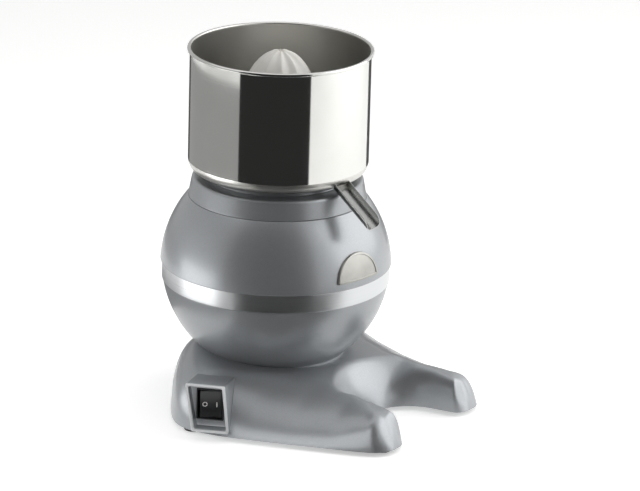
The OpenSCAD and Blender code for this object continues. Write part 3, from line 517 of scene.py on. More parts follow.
def layered(name, dark, pale, pitch_mm, metallic, rough):
    """Stacked sheets or wound wire: fine bands at about one pitch along the motor's axis, with stains."""
    coat, tree, place = material(name)
    upright = node(tree, "ShaderNodeMapping", {"Vector": place, "Scale": (0.0, 0.0, 1.0)})
    # A wave texture has about this many bands in a metre at a scale of 1
    bands_per_metre = math.pi
    scale = grains(pitch_mm) / bands_per_metre
    bands = node(tree, "ShaderNodeTexWave", {"Vector": upright, "Scale": scale}, "Fac", bands_direction="Z")
    stain = node(tree, "ShaderNodeTexNoise", {"Vector": place, "Scale": grains(14), "Detail": 4.0})
    clean = node(tree, "ShaderNodeMix", {
        "Factor": bands, "A": linear(dark), "B": linear(pale)}, "Result", data_type="RGBA")
    share = node(tree, "ShaderNodeMapRange", {"Value": stain, "To Min": 0.0, "To Max": 0.35})
    dull = rough + 0.12
    return finish(coat, {
        "Base Color": node(tree, "ShaderNodeMix", {
            "Factor": share, "A": clean, "B": linear(dark)}, "Result", data_type="RGBA"),
        "Metallic": metallic,
        "Roughness": node(tree, "ShaderNodeMapRange", {"Value": stain, "To Min": rough, "To Max": dull}),
        "Normal": node(tree, "ShaderNodeBump", {"Height": bands, "Distance": 0.05 * MM, "Strength": 1.0})})


def grained(name, patch, tones, rough, relief=None, look=None, bumps="ShaderNodeTexNoise"):
    """A finish that goes from dark and glossy to pale and dull over patches, with a fine relief.

    A patch has a width in millimetres and a detail, and a relief has the same and a height.
    """
    coat, tree, place = material(name)
    width, detail = patch
    tone = node(tree, "ShaderNodeTexNoise", {"Vector": place, "Scale": grains(width), "Detail": detail})
    inputs = dict(look or {})
    inputs["Base Color"] = node(tree, "ShaderNodeMix", {
        "Factor": tone, "A": linear(tones[0]), "B": linear(tones[1])}, "Result", data_type="RGBA")
    inputs["Roughness"] = node(tree, "ShaderNodeMapRange", {
        "Value": tone, "To Min": rough[0], "To Max": rough[1]})
    if relief:
        width, detail, height = relief
        grain = node(tree, bumps, {"Vector": place, "Scale": grains(width), "Detail": detail})
        inputs["Normal"] = node(tree, "ShaderNodeBump", {
            "Height": grain, "Distance": height * MM, "Strength": 1.0})
    return finish(coat, inputs)


PAINT = silver_paint()
MIRROR = mirror_steel()
BRIGHT = bright_aluminium()
BARE_METAL = {"Metallic": 1.0}

# Stainless sheet, drawn and satin finished: grey, softly shining, with fine scratches
SATIN = grained("satin_stainless_sheet", patch=(12, 5), tones=("#A6A7A5", "#B8B9B7"), rough=(0.2, 0.32),
                relief=(0.6, 3, 0.004), look=BARE_METAL)

# Aluminium, bead-blasted and anodised: pale and softly shining
FRAME_METAL = grained("satin_anodised_aluminium", patch=(0.4, 3), tones=("#D6D8DA", "#E4E6E7"),
                      rough=(0.42, 0.5), relief=(0.4, 3, 0.004), look={"Metallic": 0.45})

# Zinc, cast, tumbled and nickel-plated: warm grey with a lightly pebbled field
NICKEL = grained("nickel_plated_zinc", patch=(9, 4), tones=("#9C9B96", "#B5B4AF"), rough=(0.34, 0.46),
                 relief=(0.9, 3, 0.03), look={"Metallic": 0.9})

# White acetal, injection-moulded: warm white, satin, a little light passing through
WHITE = grained("white_acetal", patch=(20, 3), tones=("#E6E4DE", "#F0EEE9"), rough=(0.32, 0.42),
                relief=(0.7, 2, 0.008), look={
                    "IOR": 1.48, "Subsurface Weight": 0.12, "Subsurface Radius": (0.004, 0.0035, 0.003),
                    "Subsurface Scale": 0.6})

# Black ABS, moulded in a spark-eroded tool: deep black with a fine grain
BLACK = grained("black_abs", patch=(7, 4), tones=("#161719", "#232527"), rough=(0.32, 0.45),
                relief=(0.35, 2, 0.012), look={"IOR": 1.53})

# Black rubber, moulded: dull, slightly dusty, with a fine pebble
RUBBER = grained("black_rubber", patch=(4, 5), tones=("#131313", "#2A2A2A"), rough=(0.6, 0.8),
                 relief=(0.5, 0, 0.02), look={"IOR": 1.52}, bumps="ShaderNodeTexVoronoi")

# White ink, pad-printed: matt, a little uneven
INK = grained("white_print_ink", patch=(0.8, 3), tones=("#DAD9D4", "#F2F1EE"), rough=(0.5, 0.65),
              look={"IOR": 1.5})

# Steel screws, zinc-plated: bluish grey, half bright
ZINC = grained("zinc_plated_steel", patch=(3, 5), tones=("#8F949A", "#B9BDC1"), rough=(0.28, 0.42),
               relief=(0.375, 3, 0.006), look=BARE_METAL)

# Stainless shaft, ground: bright, with hardly any grain
SHAFT = grained("ground_stainless_shaft", patch=(2, 5), tones=("#A9ABAC", "#C6C8C9"), rough=(0.14, 0.24),
                relief=(0.25, 3, 0.002), look=BARE_METAL)

# Aluminium, die-cast and left bare: dull grey with small pits
CAST = grained("die_cast_aluminium", patch=(2.5, 5), tones=("#8B8E90", "#A9ACAE"), rough=(0.42, 0.58),
               relief=(0.3125, 3, 0.03), look=BARE_METAL)

# Aluminium can, deep-drawn: pale and bright
CAN = grained("drawn_aluminium_can", patch=(6, 5), tones=("#BFC2C4", "#D6D8DA"), rough=(0.2, 0.3),
              relief=(0.75, 3, 0.003), look=BARE_METAL)

# Steel sheet, hot-dip zinc-coated: grey, with broad patches of darker and paler zinc
SHEET = grained("zinc_coated_sheet", patch=(9, 5), tones=("#7E8387", "#A1A6AA"), rough=(0.34, 0.5),
                relief=(1.125, 3, 0.004), look=BARE_METAL)

# Core steel in stacked sheets, and copper wire in enamelled windings: fine level bands
CORE = layered("laminated_core_steel", "#4E5155", "#7F8387", pitch_mm=0.5, metallic=0.9, rough=0.4)
COPPER = layered("enamelled_copper_winding", "#7A3E1C", "#C0733A", pitch_mm=0.9, metallic=0.85, rough=0.28)

# Polyamide, moulded: ivory and satin
BLOCK = grained("ivory_polyamide", patch=(5, 3), tones=("#D8D4C6", "#E6E3D8"), rough=(0.4, 0.5),
                relief=(5, 3, 0.01), look={"IOR": 1.52})

# PVC sleeve, extruded: brown, a little glossier
PVC = grained("brown_pvc_sleeve", patch=(4, 3), tones=("#4A2E1E", "#5E3B27"), rough=(0.35, 0.45),
              relief=(4, 3, 0.01), look={"IOR": 1.52})


# Ball

def ball_top():
    corners = [(girth(BALL_R, BALL_Z, BAND_Z1), BAND_Z1, SEAM_R)]
    corners += ball_arc(BALL_R, BALL_Z, BAND_Z1, COLLAR_Z)[1:-1]
    corners += [(girth(BALL_R, BALL_Z, COLLAR_Z), COLLAR_Z, SEAM_R)]
    corners += [(FLANGE_R0, COLLAR_Z, 0), (FLANGE_R0, COLLAR_Z - FLANGE_T, 0)]
    corners += ball_arc(BALL_R - SHELL_WALL, BALL_Z, COLLAR_Z - FLANGE_T, BAND_Z1 + FLANGE_T)
    corners += [(NECK_R0, BAND_Z1 + FLANGE_T, 0), (NECK_R0, BAND_Z1, 0)]
    return lathe("ball_top", corners)


def plinth_corners():
    """The lower ball's outside from its floor up: hidden in the base, a filleted foot, then the ball."""
    centre_r = girth(LOWER_R + PLINTH_FILLET, LOWER_Z, PLINTH_Z)
    share = LOWER_R / (LOWER_R + PLINTH_FILLET)
    touch_z = LOWER_Z - (LOWER_Z - PLINTH_Z) * share
    touch_angle = math.degrees(math.atan2(touch_z - PLINTH_Z, centre_r * share - centre_r))
    corners = ball_arc(LOWER_R, LOWER_Z, FLOOR_Z, PLINTH_LOW)
    corners += [(centre_r - PLINTH_FILLET, PLINTH_LOW, 0)]
    corners += arc(centre_r, PLINTH_Z, PLINTH_FILLET, 180, touch_angle, step=8)
    corners += ball_arc(LOWER_R, LOWER_Z, touch_z, BAND_Z0)[1:-1]
    return corners


def ball_bottom():
    corners = plinth_corners()
    corners += [(girth(LOWER_R, LOWER_Z, BAND_Z0), BAND_Z0, SEAM_R)]
    corners += [(NECK_R1, BAND_Z0, 0), (NECK_R1, BAND_Z1, 0), (NECK_R0, BAND_Z1, 0)]
    corners += [(NECK_R0, BAND_Z0 - FLANGE_T, 0)]
    corners += ball_arc(LOWER_R - SHELL_WALL, LOWER_Z, BAND_Z0 - FLANGE_T, FLOOR_Z + FLOOR_T)
    corners += [(LEAD_HOLE_R, FLOOR_Z + FLOOR_T, 0), (LEAD_HOLE_R, FLOOR_Z, 0)]
    return lathe("ball_bottom", corners)


def bright_band():
    edge = 0.5
    inner_r = NECK_R1 + BAND_GAP
    return lathe("bright_band", [(inner_r, BAND_Z0, 0), (BAND_R, BAND_Z0, edge), (BAND_R, BAND_Z1, edge),
                                 (inner_r, BAND_Z1, 0)])


def bowl_collar():
    inner_r = COLLAR_R - COLLAR_WALL
    under = COLLAR_TOP - COLLAR_WALL
    seat_edge = 0.6
    foot = 1.0
    return lathe("bowl_collar", [
        (COLLAR_R, COLLAR_Z, SEAM_R), (COLLAR_R - COLLAR_TAPER, COLLAR_TOP, COLLAR_EDGE_R),
        (SEAT_R1, COLLAR_TOP, foot), (SEAT_R1, SEAT_TOP, seat_edge),
        (SEAT_R0, SEAT_TOP, seat_edge), (SEAT_R0, COLLAR_TOP, foot),
        (SPIGOT_R1, COLLAR_TOP, 2 * foot), (SPIGOT_R1, SPIGOT_TOP, 0.8), (SPIGOT_R0, SPIGOT_TOP, 0.5),
        (SPIGOT_R0, under, 0), (inner_r - COLLAR_TAPER, under, foot), (inner_r, COLLAR_Z, 0)])


def bowl_gasket():
    foot = 0.2
    edge = 0.7
    return lathe("bowl_gasket", [(SEAT_R0, SEAT_TOP, foot), (SEAT_R1, SEAT_TOP, foot),
                                 (SEAT_R1, GASKET_TOP, edge), (SEAT_R0, GASKET_TOP, edge)])


def badge_outline(inset, share):
    """Half disc drawn in by inset and shrunk by share towards its middle."""
    r = BADGE_W / 2 - inset
    middle = BADGE_W / 5
    arch_steps = 60
    sill_steps = 40
    angles = [math.pi * i / arch_steps for i in range(arch_steps + 1)]
    arch = [(r * math.cos(a), max(r * math.sin(a), inset)) for a in angles]
    sill = [(r * (2 * i / sill_steps - 1), inset) for i in range(1, sill_steps)]
    return [(share * x, middle + share * (y - middle)) for x, y in arch + sill]


def on_front(x, y, reach):
    """The point, reach from the ball's centre, that lies over a point of the front plate."""
    up = BADGE_LOW + y - BALL_Z
    out = math.sqrt(reach ** 2 - x ** 2 - up ** 2)
    return turned_way(SPOUT_TURN, out, x, BALL_Z + up)


def front_plate():
    low = BALL_R + BADGE_GAP
    field = low + BADGE_T
    border = field + BADGE_RAISE
    edge = 0.35
    rings = (0.02, 0.35, 0.7)
    field_share = 0.985
    steps = [(0, share, low) for share in rings]
    steps += [(0, 1, low), (0, 1, border - edge), (edge / 3, 1, border - edge / 3), (edge, 1, border)]
    steps += [(BADGE_BORDER - edge, 1, border), (BADGE_BORDER, 1, border - edge)]
    steps += [(BADGE_BORDER, share, field) for share in (field_share,) + rings[::-1]]
    loops = []
    for inset, share, reach in steps:
        loops.append([on_front(x, y, reach) for x, y in badge_outline(inset, share)])
    return loft("front_plate", loops)


# Bowl and what stands in it

def juice_bowl():
    inner_r = BOWL_R - BOWL_WALL
    floor_z = BOWL_LOW + BOWL_WALL
    sleeve_r = CHIMNEY_R + BOWL_WALL
    sleeve_edge = 0.45
    sleeve_foot = 1.5
    bead_r = inner_r + BEAD_R
    joint = -math.degrees(math.acos((BOWL_R - bead_r) / BEAD_R))
    corners = [(CHIMNEY_R, BOWL_LOW, sleeve_foot + BOWL_WALL / 2), (BOWL_R, BOWL_LOW, CORNER_R)]
    corners += [(BOWL_R, RIM_Z - 2 * BEAD_R, 0)]
    corners += arc(bead_r, RIM_Z, BEAD_R, joint, 180, step=15)
    corners += [(inner_r, RIM_Z - BEAD_R, 0), (inner_r, floor_z, CORNER_R - BOWL_WALL)]
    corners += [(sleeve_r, floor_z, sleeve_foot), (sleeve_r, CHIMNEY_TOP, sleeve_edge)]
    corners += [(CHIMNEY_R, CHIMNEY_TOP, sleeve_edge)]
    bowl = lathe("juice_bowl", corners)
    lower_half = arc(0, 0, SPOUT_R - SPOUT_WALL, 180, 360)
    stations = (0, SPOUT_LEN + SPOUT_OVERRUN)
    bore = loft("spout_bore", [[on_spout(t, u, v) for u, v, fillet in lower_half] for t in stations])
    return cut(bowl, bore)


def turns(count):
    """Angles of a full turn in equal steps."""
    return [math.tau * i / count for i in range(count)]


def on_spout(back, across, up):
    """A point from its distance behind the spout's end, across it and up from its middle line."""
    out = SPOUT_REACH - back * math.cos(SPOUT_FALL) + up * math.sin(SPOUT_FALL)
    z = SPOUT_END_Z + back * math.sin(SPOUT_FALL) + up * math.cos(SPOUT_FALL)
    return turned_way(SPOUT_TURN, out, across, z)


def gutter_section(back):
    """The gutter's section at a distance behind its end, where its edges come down in a round."""
    left = max(1 - back / LIP_RUN, 0)
    low = math.degrees(math.asin(LIP_DROP * (1 - math.sqrt(1 - left ** 2)) / SPOUT_R))
    lip = SPOUT_WALL / 2
    across = (SPOUT_R - lip) * math.cos(math.radians(low))
    under = -(SPOUT_R - lip) * math.sin(math.radians(low))
    step = (180 - 2 * low) / GUTTER_PARTS
    section = arc(0, 0, SPOUT_R, 180 + low, 360 - low, step)
    section += arc(across, under, lip, -low, 180 - low, LIP_STEP)[1:-1]
    section += arc(0, 0, SPOUT_R - SPOUT_WALL, 360 - low, 180 + low, step)
    section += arc(-across, under, lip, low, 180 + low, LIP_STEP)[1:-1]
    return section


def pouring_spout():
    count = 60
    stations = [SPOUT_LEN * (i / count) ** 2 for i in range(count + 1)]
    sections = [[on_spout(t, u, v) for u, v, fillet in gutter_section(t)] for t in stations]
    low = BOWL_LOW - WELD_GAP
    r = BOWL_R + WELD_GAP
    plug = lathe("bowl_plug", [(0, low, 0), (r, low, CORNER_R), (r, RIM_Z, 0), (0, RIM_Z, 0)])
    return cut(loft("pouring_spout", sections), plug)


def strainer_blank():
    low = STRAINER_LOW
    z = STRAINER_Z
    top = z + STRAINER_T
    rim = z + STRAINER_RIM_H
    sleeve = z + STRAINER_SLEEVE_H
    neck = STRAINER_NECK_R
    neck_out = neck + STRAINER_T
    foot = STRAINER_FOOT_R
    foot_out = foot + STRAINER_T
    side = STRAINER_R
    side_in = side - STRAINER_T
    edge = 0.45
    fold = 0.5
    foot_edge = 0.3
    return lathe("juice_strainer", [
        (neck, z, 0.4), (foot, z, foot_edge), (foot, low, foot_edge), (foot_out, low, foot_edge),
        (foot_out, z, foot_edge), (side, z, fold), (side, rim, edge), (side_in, rim, edge),
        (side_in, top, fold), (neck_out, top, fold), (neck_out, sleeve, edge), (neck, sleeve, edge)])


def groove(angle):
    return RIB_DEPTH * abs(math.sin(RIB_COUNT * angle / 2)) ** RIB_POWER


def cone_loop(radius, z, depth):
    loop = []
    for a in turns(REAMER_STEPS):
        q = max(radius - depth * groove(a), 0)
        loop.append((q * math.cos(a), q * math.sin(a), z))
    return loop


def reaming_cone():
    edge = 1.2
    hollow = [(CAVITY_R, REAMER_LOW), (CAVITY_R, CAVITY_TOP - CAVITY_BEVEL),
              (CAVITY_R - CAVITY_BEVEL, CAVITY_TOP), (HUB_R, CAVITY_TOP), (HUB_R, HUB_LOW),
              (BORE_R, HUB_LOW), (BORE_R, BORE_TOP)]
    foot = [(REAMER_R - edge, REAMER_LOW), (REAMER_R - edge / 3, REAMER_LOW + edge / 3),
            (REAMER_R, REAMER_LOW + edge)]
    loops = [cone_loop(r, z, 0) for r, z in reversed(hollow)]
    loops += [cone_loop(r, z, 1) for r, z in foot]
    for tilt in range(0, TIP_TILT + 1):
        t = math.radians(tilt)
        tip_r = REAMER_R * math.cos(t)
        tip_z = REAMER_BASE + REAMER_H * math.sin(t)
        loops.append(cone_loop(tip_r, tip_z, 1 + math.sin(t) / 2))
    for share in DIMPLE_RINGS:
        drop = TIP_DIMPLE * (1 - share ** 2)
        loops.append(cone_loop(tip_r * share, tip_z - drop, share))
    half = HUB_R + 1
    wide = PIN_SLOT_W / 2
    corners = [(-half, -wide), (half, -wide), (half, wide), (-half, wide)]
    slot = loft("pin_slot", [[(x, y, z) for x, y in corners] for z in (HUB_LOW - 1, PIN_SLOT_TOP)])
    return cut(loft("reaming_cone", loops), slot)


# Base

def bend(path, at):
    """Point of a smooth curve through the path's corners, at counting corners from 0."""
    last = len(path) - 1
    k = min(int(at), last - 1)
    t = at - k
    b = Vector(path[k])
    c = Vector(path[k + 1])
    a = Vector(path[k - 1]) if k > 0 else 2 * b - c
    d = Vector(path[k + 2]) if k + 2 <= last else 2 * c - b
    squared = 2 * a - 5 * b + 4 * c - d
    cubed = 3 * b - a - 3 * c + d
    return 0.5 * (2 * b + (c - a) * t + squared * t ** 2 + cubed * t ** 3)


def looked_up(table, at):
    """Value of a table at a place, straight between its rows."""
    if at <= table[0][0]:
        return table[0][1]
    for (x0, y0), (x1, y1) in zip(table, table[1:]):
        if at <= x1:
            return y0 + (y1 - y0) * (at - x0) / (x1 - x0)
    return table[-1][1]


def gap_to(point, line):
    """Distance from a point of the plan to a line of points."""
    best = math.inf
    for a, b in zip(line, line[1:]):
        d = b - a
        t = min(max((point - a).dot(d) / d.length_squared, 0), 1)
        best = min(best, (a + d * t - point).length)
    return best


def swell(share, power):
    share = min(max(share, 0), 1)
    return (1 - (1 - share) ** power) ** (1 / power)


def tip_rounded(p, radius):
    """A point of an outline, moved sideways so that the leg's front corner is rounded."""
    reach = abs(radius)
    left = max(reach - (p.y + LEG_REACH), 0)
    inset = reach - math.sqrt(max(reach ** 2 - left ** 2, 0))
    return Vector((p.x + math.copysign(inset, radius), p.y))


def base_lines():
    """Stations from the leg's front to the machine's middle, and the outer and inner outlines there."""
    inner_corners = list(MOUTH_CORNERS)
    for angle in CUTOUT_ANGLES:
        a = math.radians(angle)
        inner_corners.append((CUTOUT_R * math.cos(a), CUTOUT_Y + CUTOUT_R * math.sin(a)))
    steps = (len(OUTER_CORNERS) - 2) * STATIONS_PER_SPAN
    stations = list(NOSE_STATIONS) + [1 + i / STATIONS_PER_SPAN for i in range(steps + 1)]
    outer = [tip_rounded(bend(OUTER_CORNERS, s), -TIP_OUTER_R) for s in stations]
    inner = [tip_rounded(bend(inner_corners, s), TIP_INNER_R) for s in stations]
    return stations, outer, inner


def skin_height(p, outer, inner, wall, front):
    y = p.y
    rise = looked_up(HEIGHT_AT, y) - wall
    rise *= swell((gap_to(p, outer) - wall) / looked_up(OUTER_RUN_AT, y), looked_up(OUTER_POWER_AT, y))
    rise *= swell((gap_to(p, inner) - wall) / looked_up(INNER_RUN_AT, y), looked_up(INNER_POWER_AT, y))
    return FOOT_H + rise * swell((y + LEG_REACH - front) / NOSE_RUN, NOSE_POWER)


def beside(line, distance):
    """The line moved sideways, to its left."""
    last = len(line) - 1
    moved = []
    for i, p in enumerate(line):
        way = line[min(i + 1, last)] - line[max(i - 1, 0)]
        moved.append(p + Vector((-way.y, way.x)) / way.length * distance)
    return moved


def drawn_back(line, stations, front):
    """The line with its leg end drawn back behind the leg's front."""
    start = front - LEG_REACH
    step = 0.25
    return [Vector((p.x, start if s == 0 else max(p.y, start + step * s))) for p, s in zip(line, stations)]


def base_side(wall, front):
    """Rows of the skin on one side, a wall inside the outer face and drawn back from the leg's front."""
    stations, outer, inner = base_lines()
    from_outer = outer
    from_inner = inner
    if wall:
        from_outer = drawn_back(beside(outer, wall), stations, front)
        from_inner = drawn_back(beside(inner, -wall), stations, front)
    rows = []
    for s, a, b in zip(stations, from_outer, from_inner):
        lean = TIP_LEAN * max(0, 1 - s / TIP_STATIONS) / TIP_H
        row = []
        for j in range(SKIN_COLUMNS + 1):
            even = j / SKIN_COLUMNS
            bunched = 0.5 - 0.5 * math.cos(math.pi * even)
            p = a + (b - a) * (SKIN_EVENNESS * even + (1 - SKIN_EVENNESS) * bunched)
            ends = s == 0 or j in (0, SKIN_COLUMNS)
            z = FOOT_H if ends else skin_height(p, outer, inner, wall, front)
            row.append((p.x, p.y + lean * (z - FOOT_H), z))
        rows.append(row)
    return rows


def skin_border(rows, columns, first):
    """Numbers of the points round a skin's border, in order."""
    last = first + (rows - 1) * columns
    border = list(range(first, first + columns))
    border += [first + i * columns + columns - 1 for i in range(1, rows)]
    border += list(range(last + columns - 2, last - 1, -1))
    border += [first + i * columns for i in range(rows - 2, 0, -1)]
    return border


def base_casting():
    """Outer and inner skin, joined at their borders, with seats for the ball, switch and gland."""
    points = []
    faces = []
    borders = []
    for side in (base_side(0, 0), base_side(BASE_WALL, TIP_WALL)):
        rows = side + [[(-x, y, z) for x, y, z in row] for row in reversed(side[:-1])]
        first = len(points)
        columns = len(rows[0])
        points += [p for row in rows for p in row]
        for i in range(len(rows) - 1):
            for j in range(columns - 1):
                a = first + i * columns + j
                faces.append((a, a + 1, a + columns + 1, a + columns))
        borders.append(skin_border(len(rows), columns, first))
    outer, inner = borders
    for k in range(len(outer)):
        m = (k + 1) % len(outer)
        faces.append((outer[k], outer[m], inner[m], inner[k]))
    casting = solid("base_casting", points, faces)
    corners = plinth_corners()
    top_r = corners[-1][0]
    seat = lathe("ball_seat", [(0, FLOOR_Z, 0)] + corners + [(top_r, BAND_Z0, 0), (0, BAND_Z0, 0)], steps=96)
    pocket = loft("hood_pocket", hood_loops(((FRAME_DEPTH, -HOOD_PLAY), (HOOD_DEPTH, -HOOD_PLAY))))
    flange_r = GLAND_FLANGE_R + GLAND_PLAY
    inner_end, outer_end = GLAND_SEAT_ENDS
    flange = lathe("gland_seat", [(0, inner_end, 0), (flange_r, inner_end, 0), (flange_r, outer_end, 0),
                                  (0, outer_end, 0)], on_gland, steps=64)
    return cut(casting, seat, pocket, flange)


def on_gland(x, y, z):
    return (x, GLAND_Y + z, GLAND_Z - y)


def lead_gland():
    return lathe("lead_gland", [
        (GLAND_BORE_R, GLAND_INNER_END, 0), (GLAND_R, GLAND_INNER_END, 1), (GLAND_R, GLAND_FLANGE_BACK, 0),
        (GLAND_FLANGE_R, GLAND_FLANGE_BACK, 0.3), (GLAND_FLANGE_R, GLAND_FLANGE_FACE, 0.9),
        (GLAND_LIP_FOOT_R, GLAND_FLANGE_FACE, 0.5), (GLAND_LIP_R, GLAND_LIP_FACE, 0.8),
        (GLAND_MOUTH_R, GLAND_LIP_FACE, 0.6)], on_gland, steps=96)


# Switch

def at_switch(depth, y, z):
    """A point from its depth behind the switch's face, its way to the front and its height."""
    return turned_way(SWITCH_TURN, SWITCH_OUT - depth, SWITCH_SHIFT + y, z)


def frame_outline(edge, depth, radius):
    """The pocket's outline, drawn in by edge, at a depth behind its face, with rounded corners."""
    w = FRAME_HALF_W - edge
    top = FRAME_TOP - edge - HOOD_FALL * max(depth, 0)
    low = FRAME_LOW + edge
    return rounded([(-w, top, radius), (w, top, radius), (w + FRAME_LEAN_FRONT, low, radius),
                    (FRAME_LEAN_REAR - w, low, radius)])


def hood_loops(steps):
    """Outlines of the pocket at steps of depth and edge."""
    loops = []
    for depth, edge in steps:
        loops.append([at_switch(depth, y, z) for y, z in frame_outline(edge, depth, HOOD_CORNER_R)])
    return loops


def box_loop(depth, width, height, radius):
    """Rounded rectangle round the rocker's middle, in the same order as the pocket's outline."""
    w = width / 2
    h = height / 2
    outline = rounded([(ROCKER_Y - w, ROCKER_Z + h, radius), (ROCKER_Y + w, ROCKER_Z + h, radius),
                       (ROCKER_Y + w, ROCKER_Z - h, radius), (ROCKER_Y - w, ROCKER_Z - h, radius)])
    return [at_switch(depth, y, z) for y, z in outline]


def switch_pocket():
    panel_back = PANEL_DEPTH + PANEL_T
    rounding = 0.6
    mouth = 0.4
    fillet = 0.8
    outside = hood_loops(((HOOD_DEPTH, 0.0), (HOOD_DEPTH / 2, 0.0), (FRAME_DEPTH + rounding, 0.0),
                          (FRAME_DEPTH + rounding / 3, 0.15), (FRAME_DEPTH, 0.5)))
    pocket = hood_loops(((FRAME_DEPTH, HOOD_WALL - 0.3), (FRAME_DEPTH + mouth, HOOD_WALL),
                         (PANEL_DEPTH - fillet, HOOD_WALL), (PANEL_DEPTH - fillet / 4, HOOD_WALL + 0.25),
                         (PANEL_DEPTH, HOOD_WALL + fillet)))
    hole_w = CASE_W + CASE_PLAY
    hole_h = CASE_H + CASE_PLAY
    hole = [box_loop(depth, hole_w, hole_h, radius=0.6) for depth in (PANEL_DEPTH, panel_back)]
    inside = hood_loops(((panel_back, HOOD_WALL), (HOOD_DEPTH, HOOD_WALL)))
    return loft("switch_pocket", outside + pocket + hole + inside, ring=True)


def switch_bezel():
    bevel = 0.6
    steps = ((FRAME_DEPTH, 0.0), (bevel, 0.0), (bevel / 3, bevel / 3), (0.0, bevel),
             (0.0, FRAME_EDGE - bevel), (bevel / 3, FRAME_EDGE - bevel / 3), (bevel, FRAME_EDGE),
             (FRAME_DEPTH, FRAME_EDGE))
    loops = []
    for depth, edge in steps:
        loops.append([at_switch(depth, y, z) for y, z in frame_outline(edge, 0, HOOD_CORNER_R)])
    return loft("switch_bezel", loops, ring=True)


def switch_case():
    front = PANEL_DEPTH - CASE_PROUD
    bottom = WELL_END - CASE_PROUD
    inner_w = ROCKER_W + 2 * ROCKER_GAP
    inner_h = ROCKER_H + 2 * ROCKER_GAP
    corner = 0.5
    edge = 0.4
    inner_edge = 0.3
    steps = ((WELL_END, CASE_W, CASE_H), (front + edge, CASE_W, CASE_H),
             (front, CASE_W - corner, CASE_H - corner), (front, inner_w + edge, inner_h + edge),
             (front + inner_edge, inner_w, inner_h), (bottom, inner_w, inner_h))
    return loft("switch_case", [box_loop(depth, width, height, corner) for depth, width, height in steps])


def on_key(out, y, z):
    """A point of the tilted key, from its pivot."""
    cos = math.cos(KEY_TILT)
    sin = math.sin(KEY_TILT)
    return at_switch(PIVOT_DEPTH - (out * cos - y * sin), ROCKER_Y + out * sin + y * cos, ROCKER_Z + z)


def key_dip(y):
    """How far the key's hollow front lies below its edges."""
    return KEY_DIP * math.sqrt(max(1 - (y / KEY_SIDE) ** 2, 0)) ** KEY_DIP_POWER


def key_plan(inset):
    """The key seen from above: a hollowed front, straight sides and a narrow heel, drawn in by inset."""
    side = KEY_SIDE - inset
    waist = side - 0.4
    heel = KEY_HEEL - inset
    steps = 16
    across = [side * (2 * i / steps - 1) for i in range(steps + 1)]
    front = [(KEY_OUT - inset - key_dip(y), y) for y in across]
    return front + [(0, waist), (-heel, side / 2), (-heel, -side / 2), (0, -waist)]


def rocker_key():
    edge = 0.7
    half = ROCKER_H / 2
    steps = [(-half, edge), (edge / 3 - half, edge / 3), (edge - half, 0)]
    steps += [(half - edge, 0), (half - edge / 3, edge / 3), (half, edge)]
    return loft("rocker_key", [[on_key(out, y, z) for out, y in key_plan(inset)] for z, inset in steps])


def on_key_face(y, z, lift):
    """A point of the key's hollow front, lifted off it."""
    return on_key(KEY_OUT - key_dip(y) + lift, y, z)


def key_marks():
    """A ring on the key's rear half and a bar on its front half."""
    centre = ROCKER_W / 4
    edge = 0.1
    shoulder = 0.6 * MARK_PROUD
    steps = ((MARK_RING_R1, -MARK_PROUD), (MARK_RING_R1, shoulder), (MARK_RING_R1 - edge, MARK_PROUD),
             (MARK_RING_R0 + edge, MARK_PROUD), (MARK_RING_R0, shoulder), (MARK_RING_R0, -MARK_PROUD))
    loops = []
    for r, lift in steps:
        loops.append([on_key_face(r * math.cos(a) - centre, r * math.sin(a), lift) for a in turns(48)])
    ring = loft("key_marks", loops, ring=True)
    left = centre - MARK_BAR_W / 2
    right = centre + MARK_BAR_W / 2
    top = MARK_BAR_H / 2
    corner = 0.2
    bar = rounded([(left, -top, corner), (right, -top, corner), (right, top, corner), (left, top, corner)])
    lifts = (-MARK_PROUD, MARK_PROUD)
    stroke = loft("key_stroke", [[on_key_face(y, z, lift) for y, z in bar] for lift in lifts])
    return joined(ring, stroke)


def joined(obj, other):
    work = bmesh.new()
    work.from_mesh(obj.data)
    work.from_mesh(other.data)
    work.to_mesh(obj.data)
    work.free()
    bpy.data.objects.remove(other)
    return settle(obj)


# Repeated pieces, made by geometry nodes

def tree_with(name, *inputs):
    """An empty geometry tree with a geometry input and output and the named inputs."""
    tree = bpy.data.node_groups.new(name, "GeometryNodeTree")
    tree.interface.new_socket("Geometry", in_out="INPUT", socket_type="NodeSocketGeometry")
    tree.interface.new_socket("Geometry", in_out="OUTPUT", socket_type="NodeSocketGeometry")
    for label, kind in inputs:
        tree.interface.new_socket(label, in_out="INPUT", socket_type=kind)
    return tree, node(tree, "NodeGroupInput").node.outputs


def grown(obj, tree, values):
    """Runs a geometry tree on an object, with its inputs set by identifier, and keeps the plain mesh."""
    modifier = obj.modifiers.new(tree.name, "NODES")
    modifier.node_group = tree
    for item in tree.interface.items_tree:
        if item.in_out == "INPUT" and item.name in values:
            modifier[item.identifier] = values[item.name]
    return made(obj)


def spot_mesh(name, spots):
    """Loose points, given in millimetres."""
    return mesh_object(name, [Vector(p) * MM for p in spots], [])


def copies_tree():
    """Copies of one shape on every point."""
    tree, given = tree_with("copies_on_points", ("Shape", "NodeSocketObject"),
                            ("Finish", "NodeSocketMaterial"))
    shape = node(tree, "GeometryNodeObjectInfo", {"Object": given["Shape"]}, "Geometry")
    copies = node(tree, "GeometryNodeInstanceOnPoints", {"Points": given["Geometry"], "Instance": shape})
    plain = node(tree, "GeometryNodeRealizeInstances", {"Geometry": copies})
    coated = node(tree, "GeometryNodeSetMaterial", {"Geometry": plain, "Material": given["Finish"]})
    node(tree, "NodeGroupOutput", {"Geometry": coated})
    return tree


